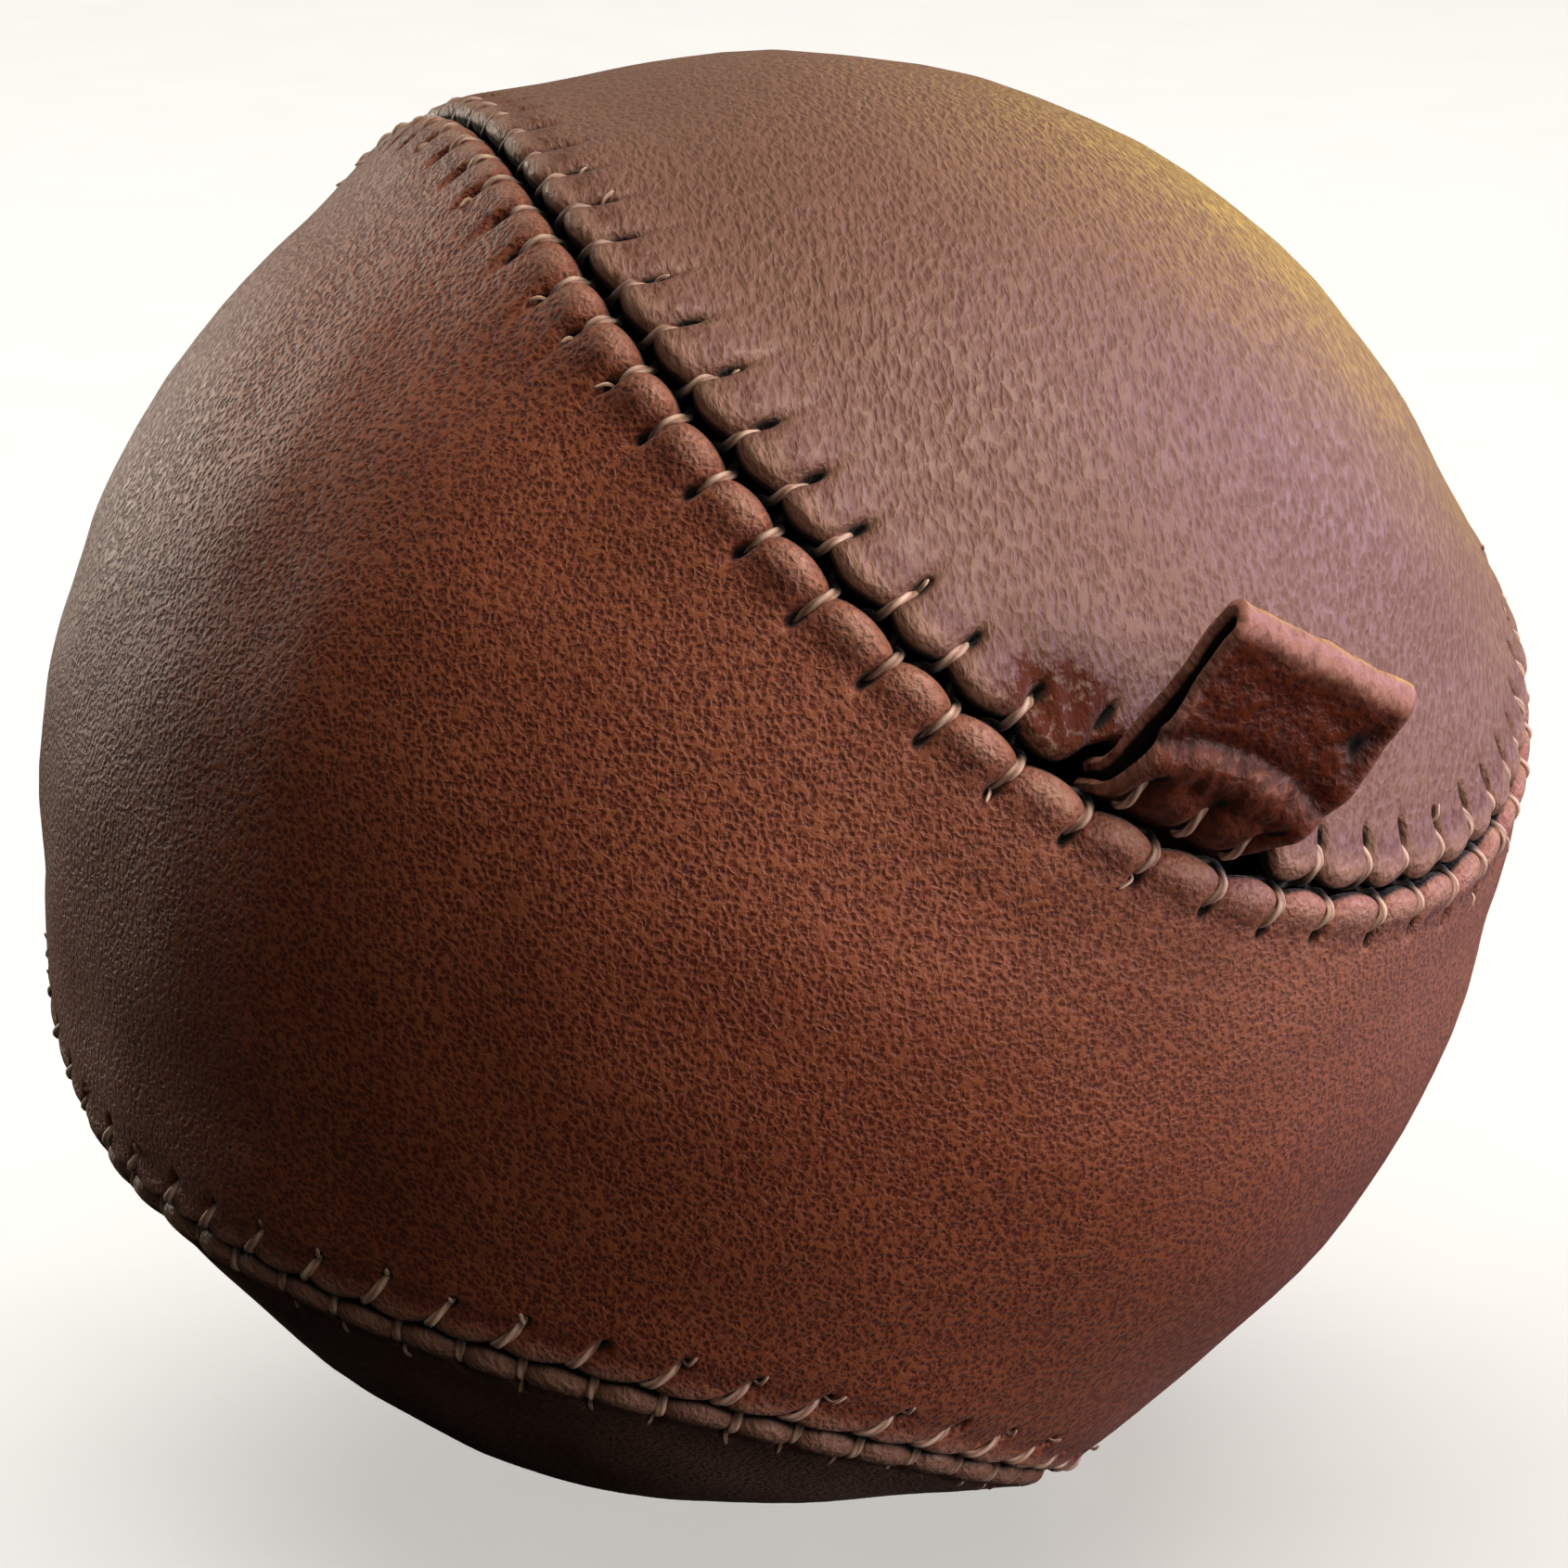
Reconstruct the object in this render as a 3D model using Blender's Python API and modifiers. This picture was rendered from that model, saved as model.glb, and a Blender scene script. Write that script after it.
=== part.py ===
"""A small leather medicine ball, 150 mm across, standing on the flat that its own weight presses.

Two figure-of-eight leather panels meet along one closed seam, like a baseball's, and are laced with waxed
thread.  A folded leather loop is caught in the seam.  Inside are a canvas lining, six wads of stuffing and
a canvas bag of sand.  Metres, +Z up; the origin is the middle of the flat that the ball rests on.
"""
import math

import bmesh
import bpy
import numpy as np
from mathutils import Euler, Matrix, Vector

# The stuffed body
BODY_RADIUS = 0.0752
STRETCH_FRONT = 0.035        # the body is a little longer from front to back
STRETCH_DIAGONAL = -0.028    # and a little flatter along its leaning axis
STRETCH_ACROSS = -0.007
LEAN_ANGLE = math.radians(-58.8)
REST_FLAT_DEPTH = 0.0018     # how far the weight presses the underside flat

# The seam: a closed curve on the unit ball, with the drift of hand-cut panels
SEAM_BEND = 0.266
SEAM_DRIFT = ((-0.0497, -0.0249), (-0.0352, 0.0362), (0.0119, 0.0807))
BALL_TURN = Euler((math.radians(-111.84), math.radians(19.74), math.radians(-155.49)), "XYZ")
SEAM_SAMPLES = 720
RIDGE_HEIGHT = 0.0025        # the lacing draws the leather up into a ridge
RIDGE_WIDTH = 0.0104
SEAM_HALF_GAP = 0.0009

# Leather and canvas
LEATHER = 0.002
CANVAS = 0.0008
LAYER_GAP = 0.0009
LINING_DEPTH = LEATHER + LAYER_GAP
STUFFING_GAP = 0.0017
STUFFING_DEPTH = LINING_DEPTH + CANVAS + STUFFING_GAP
LINING_SETBACK = 0.0005      # how far the canvas stops short of the leather's edge
EDGE_ROLL = 0.0007           # the panel's edge rolls down into the seam
EDGE_ROLL_WIDTH = 0.0013

# The lacing: a thread that dips in and out along the gap
STITCHES = 120
THREAD_RADIUS = 0.0004
THREAD_TOP = 0.0013
THREAD_BOTTOM = 0.0046
THREAD_LENGTHS = 4           # the seam is laced with four lengths of thread

# The hanging loop
LOOP_TURN = 4.084            # where along the seam its foot is, in radians of the seam's own parameter
LOOP_WIDTH = 0.0205
LOOP_LEAN = math.radians(55) # from the ball's normal towards panel A
LOOP_HEIGHT = 0.0184         # from the bend line to the middle of the fold
LOOP_LEATHER = 0.0018
LOOP_FOLD_RADIUS = 0.0024
LOOP_FOOT_RADIUS = 0.0014
LOOP_BELLY = 0.0038          # how far the front layer stands out above the foot
LOOP_BELLY_HEIGHT = 0.0065
LOOP_WAIST_HEIGHT = 0.0125   # where the front layer dips in again under the fold
LOOP_TUNNEL_FOOT = (0.0004, 0.0039)   # the tunnel's lowest corner
LOOP_SWELL = ((0.72, 0.4), (1.0, 1.0), (0.86, 1.45))   # the belly's outline, in its depth and height
LOOP_BACK_DRAW = 0.9         # the back layer's outer side, in fold radii
LOOP_TUNNEL_DRAW = 0.7       # and its inner side, in the fold's inner radii
FOOT_ARC_POINTS = 7
FOLD_ARC_POINTS = 9
LOOP_NOTCH = 0.0048          # how far panel A's edge steps back to make room for the foot
LOOP_NOTCH_HALF = 0.0135     # half the notch's length along the seam
LOOP_NOTCH_EASE = 0.006
LOOP_SETBACK = 0.0027        # from the seam's middle to the bend line
LOOP_LIFT = 0.0008           # the bend line's height over the ridge
TAIL_THICKNESS = 0.0014
TAIL_OFFSETS = {"front": 0.0017, "back": 0.0035}   # their middles, from the seam's middle
TAIL_TOP = 0.0012
TAIL_BOTTOM = 0.0046
TAIL_CELLS = 8

# The stuffing and the core
WAD_GAP = math.radians(0.5)  # half the angle left between two wads
WAD_CELLS = 5
CORE_RADIUS = 0.0375
CORE_GAP = 0.0036            # from the bag to the wads, over the bag's own stitching
SAND_GAP = 0.0014
BAG_SEAM_GAP = 0.0006
BAG_STITCH_RADIUS = 0.0006
BAG_STITCH_RING = 0.0392
BAG_STITCH_SIDES = 6
BAG_STITCH_STEPS = 24
BAG_STEPS = 16
BAG_ARCS = 4

# Mesh density
PANEL_SAMPLES = 112
PANEL_LIP_ROWS = (0.0, EDGE_ROLL_WIDTH, 0.0045)
PANEL_ROWS = 4
LINING_SAMPLES = 60
LINING_ROWS = 4
SPINE_REACH = math.radians(112)   # how far a panel's middle line runs each way from its centre
PANELS = {"a": -1, "b": 1}        # the side of the ball's own Z axis that each panel is centred on

MATERIALS = {
    "leather_panel": ((0.125, 0.045, 0.022), 0.55),
    "leather_loop": ((0.095, 0.034, 0.017), 0.6),
    "canvas": ((0.55, 0.48, 0.36), 0.9),
    "waxed_thread": ((0.5, 0.33, 0.22), 0.6),
    "cotton_waste": ((0.62, 0.58, 0.52), 0.95),
    "sand": ((0.46, 0.36, 0.24), 0.95),
}


def material(name):
    """The finish of this name, made on first use."""
    known = bpy.data.materials.get(name)
    if known:
        return known
    colour, roughness = MATERIALS[name]
    made = bpy.data.materials.new(name)
    made.use_nodes = True
    shader = made.node_tree.nodes["Principled BSDF"]
    shader.inputs["Base Color"].default_value = (*colour, 1.0)
    shader.inputs["Roughness"].default_value = roughness
    shader.inputs["Metallic"].default_value = 0.0
    return made


def start():
    """An empty file with one collection named for the object."""
    for old in list(bpy.data.objects):
        bpy.data.objects.remove(old)
    parts = bpy.data.collections.new("medicine_ball")
    bpy.context.scene.collection.children.link(parts)
    return parts


def unit(vectors):
    """The vectors at length one."""
    return vectors / np.linalg.norm(vectors, axis=-1, keepdims=True)


def lean_axes():
    """The body's three stretch factors as one matrix."""
    diagonal = np.array([math.cos(LEAN_ANGLE), 0.0, math.sin(LEAN_ANGLE)])
    across = np.array([-math.sin(LEAN_ANGLE), 0.0, math.cos(LEAN_ANGLE)])
    front = np.array([0.0, 1.0, 0.0])
    pairs = ((STRETCH_DIAGONAL, diagonal), (STRETCH_ACROSS, across), (STRETCH_FRONT, front))
    return sum(stretch * np.outer(axis, axis) for stretch, axis in pairs)


STRETCH = lean_axes()
TURN = np.array(BALL_TURN.to_matrix())


def body_radius(directions):
    """Distance from the ball's centre to its skin, leaving out the seam and the flat."""
    return BODY_RADIUS * (1.0 + np.einsum("...i,ij,...j->...", directions, STRETCH, directions))


CENTRE_HEIGHT = float(body_radius(np.array([0.0, 0.0, -1.0]))) - REST_FLAT_DEPTH
CENTRE = np.array([0.0, 0.0, CENTRE_HEIGHT])


def ideal_seam(turns):
    """The seam without drift, in the ball's own axes, at these values of its parameter."""
    wide = 1.0 - SEAM_BEND
    height = 2.0 * math.sqrt(wide * SEAM_BEND)
    x = wide * np.cos(turns) + SEAM_BEND * np.cos(3 * turns)
    y = wide * np.sin(turns) - SEAM_BEND * np.sin(3 * turns)
    return np.stack([x, y, height * np.sin(2 * turns)], axis=-1)


def drifted_seam(turns):
    """The seam as the hand-cut panels meet, in the ball's own axes."""
    step = 1e-4
    point = ideal_seam(turns)
    along = unit(ideal_seam(turns + step) - ideal_seam(turns - step))
    drift = sum(cosine * np.cos((i + 1) * turns) + sine * np.sin((i + 1) * turns)
                for i, (cosine, sine) in enumerate(SEAM_DRIFT))
    return unit(point + np.cross(point, along) * drift[..., None])


def seam_directions(turns):
    """World directions from the centre to the seam."""
    return drifted_seam(np.asarray(turns, dtype=float)) @ TURN.T


SEAM = seam_directions(np.linspace(0.0, 2 * math.pi, SEAM_SAMPLES, endpoint=False))


def seam_distance(directions):
    """Distance over the skin from each direction to the seam."""
    nearest = np.clip(directions @ SEAM.T, -1.0, 1.0).max(axis=-1)
    return np.arccos(nearest) * BODY_RADIUS


def skin_radius(directions, depth, ridge=RIDGE_HEIGHT):
    """Radius of the layer this deep under the skin, with the seam's ridge and the pressed flat."""
    away = seam_distance(directions)
    radius = body_radius(directions) + ridge * np.exp(-(away / RIDGE_WIDTH) ** 2) - depth
    down = np.maximum(-directions[..., 2], 1e-6)
    return np.minimum(radius, (CENTRE_HEIGHT - depth) / down)


def seam_turns_by_length(count, start_turn=0.0):
    """Values of the seam's parameter spaced evenly by length, starting at start_turn."""
    fine = start_turn + np.linspace(0.0, 2 * math.pi, 8 * SEAM_SAMPLES + 1)
    points = seam_directions(fine)
    lengths = np.concatenate([[0.0], np.cumsum(np.linalg.norm(np.diff(points, axis=0), axis=1))])
    wanted = np.linspace(0.0, lengths[-1], count, endpoint=False)
    return np.interp(wanted, lengths, fine)


def notch(turns):
    """How far panel A's edge steps back for the loop's foot: LOOP_NOTCH over it, nothing away from it."""
    foot = seam_directions(np.array([LOOP_TURN]))[0]
    away = np.arccos(np.clip(seam_directions(turns) @ foot, -1.0, 1.0)) * BODY_RADIUS
    ease = np.clip((LOOP_NOTCH_HALF + LOOP_NOTCH_EASE - away) / LOOP_NOTCH_EASE, 0.0, 1.0)
    return LOOP_NOTCH * ease * ease * (3.0 - 2.0 * ease)


def add_object(name, data, finish, parts):
    """The mesh or curve as a named object with this finish."""
    made = bpy.data.objects.new(name, data)
    made.data.materials.append(material(finish))
    parts.objects.link(made)
    return made


def side_of_seam(turns):
    """World directions along the skin from the seam towards panel B."""
    step = 1e-3
    along = unit(seam_directions(turns + step) - seam_directions(turns - step))
    return unit(np.cross(seam_directions(turns), along))


def panel_turns(side, samples):
    """Seam parameters round a panel, even by length and mirrored about its middle line."""
    tip = math.pi - side * math.pi / 4
    fine = np.linspace(0.0, math.pi, 4 * SEAM_SAMPLES + 1)
    points = ideal_seam(tip + fine)
    lengths = np.concatenate([[0.0], np.cumsum(np.linalg.norm(np.diff(points, axis=0), axis=1))])
    half = np.interp(np.linspace(0.0, lengths[-1], samples // 2 + 1), lengths, fine)
    return tip, np.concatenate([half, -half[-2:0:-1]])


def spine_directions(side, offsets):
    """World directions of the middle line's points that these places on the seam face."""
    reach = -SPINE_REACH * np.cos(offsets)
    lobe = np.array([1.0, -side, 0.0]) / math.sqrt(2)
    centre = np.array([0.0, 0.0, side])
    return (np.outer(np.sin(reach), lobe) + np.outer(np.cos(reach), centre)) @ TURN.T


def turn_between(start, end, fractions):
    """Directions this far from start to end over the unit ball."""
    angle = np.arccos(np.clip((start * end).sum(axis=-1), -1.0, 1.0))
    first = np.sin((1 - fractions) * angle) / np.sin(angle)
    second = np.sin(fractions * angle) / np.sin(angle)
    return start * first[:, None] + end * second[:, None]


def panel_sheet(name, side, samples, lip_rows, rows, half_gap, depth, edge_drop):
    """The open sheet of one panel: rows that follow the seam inwards to the panel's middle line."""
    tip, offsets = panel_turns(side, samples)
    turns = tip + offsets
    step_back = half_gap + (notch(turns) if side < 0 else np.zeros(samples))
    seam = seam_directions(turns)
    edge = unit(seam + side * side_of_seam(turns) * (step_back / BODY_RADIUS)[:, None])
    spine = spine_directions(side, offsets)
    reach = np.arccos(np.clip((edge * spine).sum(axis=1), -1.0, 1.0))
    lips = [lip / BODY_RADIUS / reach for lip in lip_rows]
    inner = [lips[-1] + (1 - lips[-1]) * (row + 1) / rows for row in range(rows - 1)]
    sheet = bmesh.new()
    rings = []
    for index, fractions in enumerate(lips + inner):
        directions = turn_between(edge, spine, fractions)
        drop = edge_drop if index == 0 else 0.0
        places = CENTRE + directions * (skin_radius(directions, depth) - drop)[:, None]
        rings.append([sheet.verts.new(place) for place in places])
    half = samples // 2
    places = CENTRE + spine * skin_radius(spine, depth)[:, None]
    middle = [sheet.verts.new(places[k]) for k in range(half + 1)]
    rings.append([middle[min(k, samples - k)] for k in range(samples)])
    for outer, within in zip(rings, rings[1:]):
        for k in range(samples):
            after = (k + 1) % samples
            sheet.faces.new((outer[k], outer[after], within[after], within[k]))
    sheet.normal_update()
    first = next(iter(sheet.faces))
    if first.normal.dot(first.calc_center_median() - Vector(CENTRE)) < 0:
        bmesh.ops.reverse_faces(sheet, faces=sheet.faces)
    data = bpy.data.meshes.new(name)
    sheet.to_mesh(data)
    sheet.free()
    data.shade_smooth()
    return data


def thicken(made, thickness, offset=-1.0):
    """Give an open sheet its thickness: inwards, or to both sides with offset 0."""
    solid = made.modifiers.new("thickness", "SOLIDIFY")
    solid.thickness = thickness
    solid.offset = offset


def build_cover(parts):
    """The two leather panels and the canvas panel behind each."""
    for letter, side in PANELS.items():
        leather = panel_sheet(f"cover_panel_{letter}", side, PANEL_SAMPLES, PANEL_LIP_ROWS, PANEL_ROWS,
                              SEAM_HALF_GAP, 0.0, EDGE_ROLL)
        thicken(add_object(f"cover_panel_{letter}", leather, "leather_panel", parts), LEATHER)
        canvas = panel_sheet(f"lining_panel_{letter}", side, LINING_SAMPLES, (0.0,), LINING_ROWS,
                             SEAM_HALF_GAP + LINING_SETBACK, LINING_DEPTH, 0.0)
        thicken(add_object(f"lining_panel_{letter}", canvas, "canvas", parts), CANVAS)


def build_lacing(parts):
    """Four lengths of thread that dip in and out along the seam's gap."""
    turns = seam_turns_by_length(2 * STITCHES, LOOP_TURN)
    directions = seam_directions(turns)
    depths = np.where(np.arange(2 * STITCHES) % 2 == 0, THREAD_TOP, THREAD_BOTTOM)
    places = CENTRE + directions * skin_radius(directions, depths)[:, None]
    per_length = 2 * STITCHES // THREAD_LENGTHS
    for length in range(THREAD_LENGTHS):
        curve = bpy.data.curves.new(f"seam_thread_{length + 1}", "CURVE")
        curve.dimensions = "3D"
        curve.bevel_depth = THREAD_RADIUS
        curve.bevel_resolution = 1
        curve.use_fill_caps = True
        line = curve.splines.new("POLY")
        run = places[length * per_length:(length + 1) * per_length]
        line.points.add(len(run) - 1)
        for point, place in zip(line.points, run):
            point.co = (*place, 1.0)
        add_object(f"seam_thread_{length + 1}", curve, "waxed_thread", parts)


def loop_matrix():
    """The loop's own frame on its bend line: X out of its front, Y up it, Z along the bend."""
    turn = np.array([LOOP_TURN])
    towards_a = -side_of_seam(turn)[0]
    foot = unit(seam_directions(turn)[0] + towards_a * LOOP_SETBACK / BODY_RADIUS)
    towards_a = unit(towards_a - foot * (towards_a @ foot))
    radius = float(body_radius(foot)) + RIDGE_HEIGHT + LOOP_LIFT
    front = math.sin(LOOP_LEAN) * foot - math.cos(LOOP_LEAN) * towards_a
    upward = math.cos(LOOP_LEAN) * foot + math.sin(LOOP_LEAN) * towards_a
    columns = Matrix((front, upward, np.cross(front, upward))).transposed().to_4x4()
    return Matrix.Translation(Vector(CENTRE + foot * radius)) @ columns


def arc(centre, radius, start, end, count):
    """Points round part of a circle, the ends included."""
    angles = np.linspace(start, end, count)
    return [(centre[0] + radius * math.cos(a), centre[1] + radius * math.sin(a)) for a in angles]


def build_loop(parts):
    """The folded strip, as one band round its narrow tunnel, and its two sewn tails."""
    inside = LOOP_FOLD_RADIUS - LOOP_LEATHER
    outline = arc((0.0, 0.0), LOOP_FOOT_RADIUS, -math.pi, 0.0, FOOT_ARC_POINTS)
    outline += [(LOOP_BELLY * out, LOOP_BELLY_HEIGHT * up) for out, up in LOOP_SWELL]
    outline += [(LOOP_FOLD_RADIUS, LOOP_WAIST_HEIGHT)]
    outline += arc((0.0, LOOP_HEIGHT), LOOP_FOLD_RADIUS, 0.0, math.pi, FOLD_ARC_POINTS)
    outline += [(-LOOP_FOLD_RADIUS * LOOP_BACK_DRAW, LOOP_BELLY_HEIGHT)]
    tunnel = [LOOP_TUNNEL_FOOT, (LOOP_BELLY - LOOP_LEATHER, LOOP_BELLY_HEIGHT), (inside, LOOP_WAIST_HEIGHT)]
    tunnel += arc((0.0, LOOP_HEIGHT), inside, 0.0, math.pi, FOOT_ARC_POINTS)
    tunnel += [(-inside * LOOP_TUNNEL_DRAW, LOOP_BELLY_HEIGHT)]
    curve = bpy.data.curves.new("hanging_loop", "CURVE")
    curve.dimensions = "2D"
    curve.fill_mode = "BOTH"
    curve.extrude = LOOP_WIDTH / 2
    for points in (outline, tunnel):
        ring = curve.splines.new("POLY")
        ring.use_cyclic_u = True
        ring.points.add(len(points) - 1)
        for point, place in zip(ring.points, points):
            point.co = (*place, 0.0, 1.0)
    add_object("hanging_loop", curve, "leather_loop", parts).matrix_world = loop_matrix()
    for which, offset in TAIL_OFFSETS.items():
        build_tail(which, offset, parts)


def turns_across_loop():
    """Seam parameters over the loop's width, from one edge of its foot to the other."""
    step = 0.01
    ends = seam_directions(LOOP_TURN + np.array([-step, step]))
    half = LOOP_WIDTH / 2 / BODY_RADIUS * 2 * step / np.linalg.norm(ends[1] - ends[0])
    return LOOP_TURN + np.linspace(-half, half, TAIL_CELLS + 1)


def build_tail(which, offset, parts):
    """One end of the strip, standing in the seam beside the thread."""
    turns = turns_across_loop()
    directions = unit(seam_directions(turns) - side_of_seam(turns) * offset / BODY_RADIUS)
    sheet = bmesh.new()
    rows = []
    for depth in (TAIL_TOP, TAIL_BOTTOM):
        places = CENTRE + directions * skin_radius(directions, depth)[:, None]
        rows.append([sheet.verts.new(place) for place in places])
    for k in range(len(turns) - 1):
        sheet.faces.new((rows[0][k], rows[0][k + 1], rows[1][k + 1], rows[1][k]))
    data = bpy.data.meshes.new(f"loop_tail_{which}")
    sheet.to_mesh(data)
    sheet.free()
    thicken(add_object(f"loop_tail_{which}", data, "leather_loop", parts), TAIL_THICKNESS, 0.0)


def build_stuffing(parts):
    """Six wads of cotton waste packed round the core, one for each way that a cube's faces look."""
    names = ("right", "left", "back", "front", "top", "bottom")
    axes = np.vstack([np.eye(3), -np.eye(3)])[[0, 3, 1, 4, 2, 5]]
    spread = np.tan(np.linspace(-math.pi / 4 + WAD_GAP, math.pi / 4 - WAD_GAP, WAD_CELLS + 1))
    for name, facing in zip(names, axes):
        first = np.roll(np.abs(facing), 1)
        second = np.cross(facing, first)
        directions = unit(facing + spread[:, None, None] * first + spread[None, :, None] * second)
        outer = CENTRE + directions * skin_radius(directions, STUFFING_DEPTH, 0.0)[..., None]
        inner = CENTRE + directions * (CORE_RADIUS + CORE_GAP)
        wad = bmesh.new()
        shells = [[[wad.verts.new(place) for place in row] for row in shell] for shell in (outer, inner)]
        for i in range(WAD_CELLS):
            for j in range(WAD_CELLS):
                for shell, sense in zip(shells, (1, -1)):
                    corners = (shell[i][j], shell[i + 1][j], shell[i + 1][j + 1], shell[i][j + 1])
                    wad.faces.new(corners[::sense])
        rims = [edge for edge in wad.edges if edge.is_boundary]
        bmesh.ops.bridge_loops(wad, edges=rims)
        bmesh.ops.recalc_face_normals(wad, faces=wad.faces)
        data = bpy.data.meshes.new(f"stuffing_wad_{name}")
        wad.to_mesh(data)
        wad.free()
        data.shade_smooth()
        add_object(f"stuffing_wad_{name}", data, "cotton_waste", parts)


def build_core(parts):
    """The sand in its canvas bag of two cups, stitched round the middle."""
    for name, sense in (("upper", 1), ("lower", -1)):
        arc_angles = np.linspace(0.0, math.pi / 2, BAG_ARCS + 1)
        profile = bmesh.new()
        heights = CORE_RADIUS * np.cos(arc_angles)
        heights[-1] = BAG_SEAM_GAP / 2
        points = list(zip(CORE_RADIUS * np.sin(arc_angles), sense * heights))
        verts = [profile.verts.new((x, 0.0, z)) for x, z in points[::sense]]
        for before, after in zip(verts, verts[1:]):
            profile.edges.new((before, after))
        data = bpy.data.meshes.new(f"core_bag_{name}")
        profile.to_mesh(data)
        profile.free()
        cup = add_object(f"core_bag_{name}", data, "canvas", parts)
        cup.location = CENTRE
        screw = cup.modifiers.new("turned", "SCREW")
        screw.steps = BAG_STEPS
        screw.render_steps = BAG_STEPS
        screw.use_merge_vertices = True
        screw.merge_threshold = 0.0001
        thicken(cup, CANVAS)
    ring = bpy.data.meshes.new("core_bag_stitching")
    made = add_object("core_bag_stitching", ring, "waxed_thread", parts)
    made.location = CENTRE
    stitch = bmesh.new()
    bmesh.ops.create_circle(stitch, segments=BAG_STITCH_SIDES, radius=BAG_STITCH_RADIUS)
    bmesh.ops.rotate(stitch, verts=stitch.verts, matrix=Matrix.Rotation(math.pi / 2, 3, "X"))
    bmesh.ops.translate(stitch, verts=stitch.verts, vec=(BAG_STITCH_RING, 0.0, 0.0))
    bmesh.ops.spin(stitch, geom=list(stitch.edges), cent=(0, 0, 0), axis=(0, 0, 1), angle=2 * math.pi,
                   steps=BAG_STITCH_STEPS, use_merge=True)
    bmesh.ops.remove_doubles(stitch, verts=stitch.verts, dist=1e-6)
    bmesh.ops.recalc_face_normals(stitch, faces=stitch.faces)
    stitch.to_mesh(ring)
    stitch.free()
    sand = bpy.data.meshes.new("sand_fill")
    grains = bmesh.new()
    bmesh.ops.create_uvsphere(grains, u_segments=BAG_STEPS, v_segments=2 * BAG_ARCS,
                              radius=CORE_RADIUS - CANVAS - SAND_GAP)
    grains.to_mesh(sand)
    grains.free()
    sand.shade_smooth()
    add_object("sand_fill", sand, "sand", parts).location = CENTRE


def main():
    parts = start()
    build_cover(parts)
    build_lacing(parts)
    build_loop(parts)
    build_stuffing(parts)
    build_core(parts)


main()
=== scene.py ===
import math

import bpy
import numpy as np
from mathutils import Euler, Matrix, Vector


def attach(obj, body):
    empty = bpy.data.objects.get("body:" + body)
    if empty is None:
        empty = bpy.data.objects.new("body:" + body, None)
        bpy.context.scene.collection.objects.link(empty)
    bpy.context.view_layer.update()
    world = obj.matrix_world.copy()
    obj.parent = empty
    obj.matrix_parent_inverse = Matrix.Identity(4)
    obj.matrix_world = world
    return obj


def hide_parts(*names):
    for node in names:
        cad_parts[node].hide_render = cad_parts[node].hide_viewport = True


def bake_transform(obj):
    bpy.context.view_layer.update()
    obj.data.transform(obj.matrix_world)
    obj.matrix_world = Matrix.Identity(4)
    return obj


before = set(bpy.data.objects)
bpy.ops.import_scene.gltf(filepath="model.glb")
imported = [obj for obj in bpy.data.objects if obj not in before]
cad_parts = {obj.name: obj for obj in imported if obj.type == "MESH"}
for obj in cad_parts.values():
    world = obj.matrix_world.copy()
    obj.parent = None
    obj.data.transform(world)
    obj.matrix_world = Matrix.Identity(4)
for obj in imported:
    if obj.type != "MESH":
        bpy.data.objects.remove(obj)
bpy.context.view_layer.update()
MM = 0.001

# The stuffed body, as in the CAD
BODY_RADIUS = 0.0752
STRETCH_FRONT = 0.035
STRETCH_DIAGONAL = -0.028
STRETCH_ACROSS = -0.007
LEAN_ANGLE = math.radians(-58.8)
REST_FLAT_DEPTH = 0.0018

# The seam, as in the CAD
SEAM_BEND = 0.266
SEAM_DRIFT = ((-0.0497, -0.0249), (-0.0352, 0.0362), (0.0119, 0.0807))
BALL_TURN = Euler((math.radians(-111.84), math.radians(19.74), math.radians(-155.49)), "XYZ")
SEAM_SAMPLES = 720
RIDGE_HEIGHT = 0.0025
RIDGE_WIDTH = 0.0104
SPINE_REACH = math.radians(112)
LEATHER = 0.002
PANELS = {"a": -1, "b": 1}

# The loop, as in the CAD
LOOP_TURN = 4.084
LOOP_WIDTH = 0.0205
LOOP_LEAN = math.radians(55)
LOOP_HEIGHT = 0.0184
LOOP_NOTCH = 0.0048
LOOP_NOTCH_HALF = 0.0086  # narrower than in the CAD: the leather closes round the strap
LOOP_NOTCH_SHIFT = 0.0012
LOOP_NOTCH_EASE = 0.0035
LOOP_SETBACK = 0.0027
LOOP_LIFT = 0.0008

# The lacing: STITCHES on each panel, those of panel A half a pitch along from those of panel B
STITCHES = 120
PITCH = 6.9 * MM
STITCH_SHIFT = {-1: 0.5, 1: 0.0}
# how far along the seam a stitch's hole lies from its thread's crossing, in pitches: middle and swing
STITCH_SLANT = {-1: (-0.06, 0.06), 1: (0.32, 0.21)}
SLANT_LEAST = 0.31  # where along the seam the slant is least, as a share of its length
STITCH_JITTER = 0.07  # hand work, in pitches
HOLE_AWAY = 4.5 * MM
HOLE_SPREAD = 0.45 * MM
THREAD_RADIUS = 0.42 * MM
THREAD_WIDE = 1.08  # the thread's half width and half height on the leather, in radii
THREAD_FLAT = 0.8
THREAD_STEP = 0.42 * MM  # spacing of its rings
THREAD_SIDES = 12
THREAD_PLIES = 3
PLY_DEPTH = 0.13  # how far a ply stands out of the thread, as a share of its radius
THREAD_TWIST = 3.4 * MM  # the length in which the plies turn once
FRAYED = 0.35  # least share of the stitches with a loose ply
FRAYED_MORE = 0.5  # and how much more where the lacing is most worn
FRAYED_MOST = 0.70  # where along the seam that is, as a share of its length
FRAYED_REACH = 0.11
FRAY_THIN = 0.45  # a loose ply's radius, as a share of the thread's
FRAY_STEP = 0.3 * MM
FRAY_SWING = 0.16  # how far a loose ply swings along the seam, in pitches
UNDER_SKIN = -2.6 * MM  # the height at which the thread runs behind the leather
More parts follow.
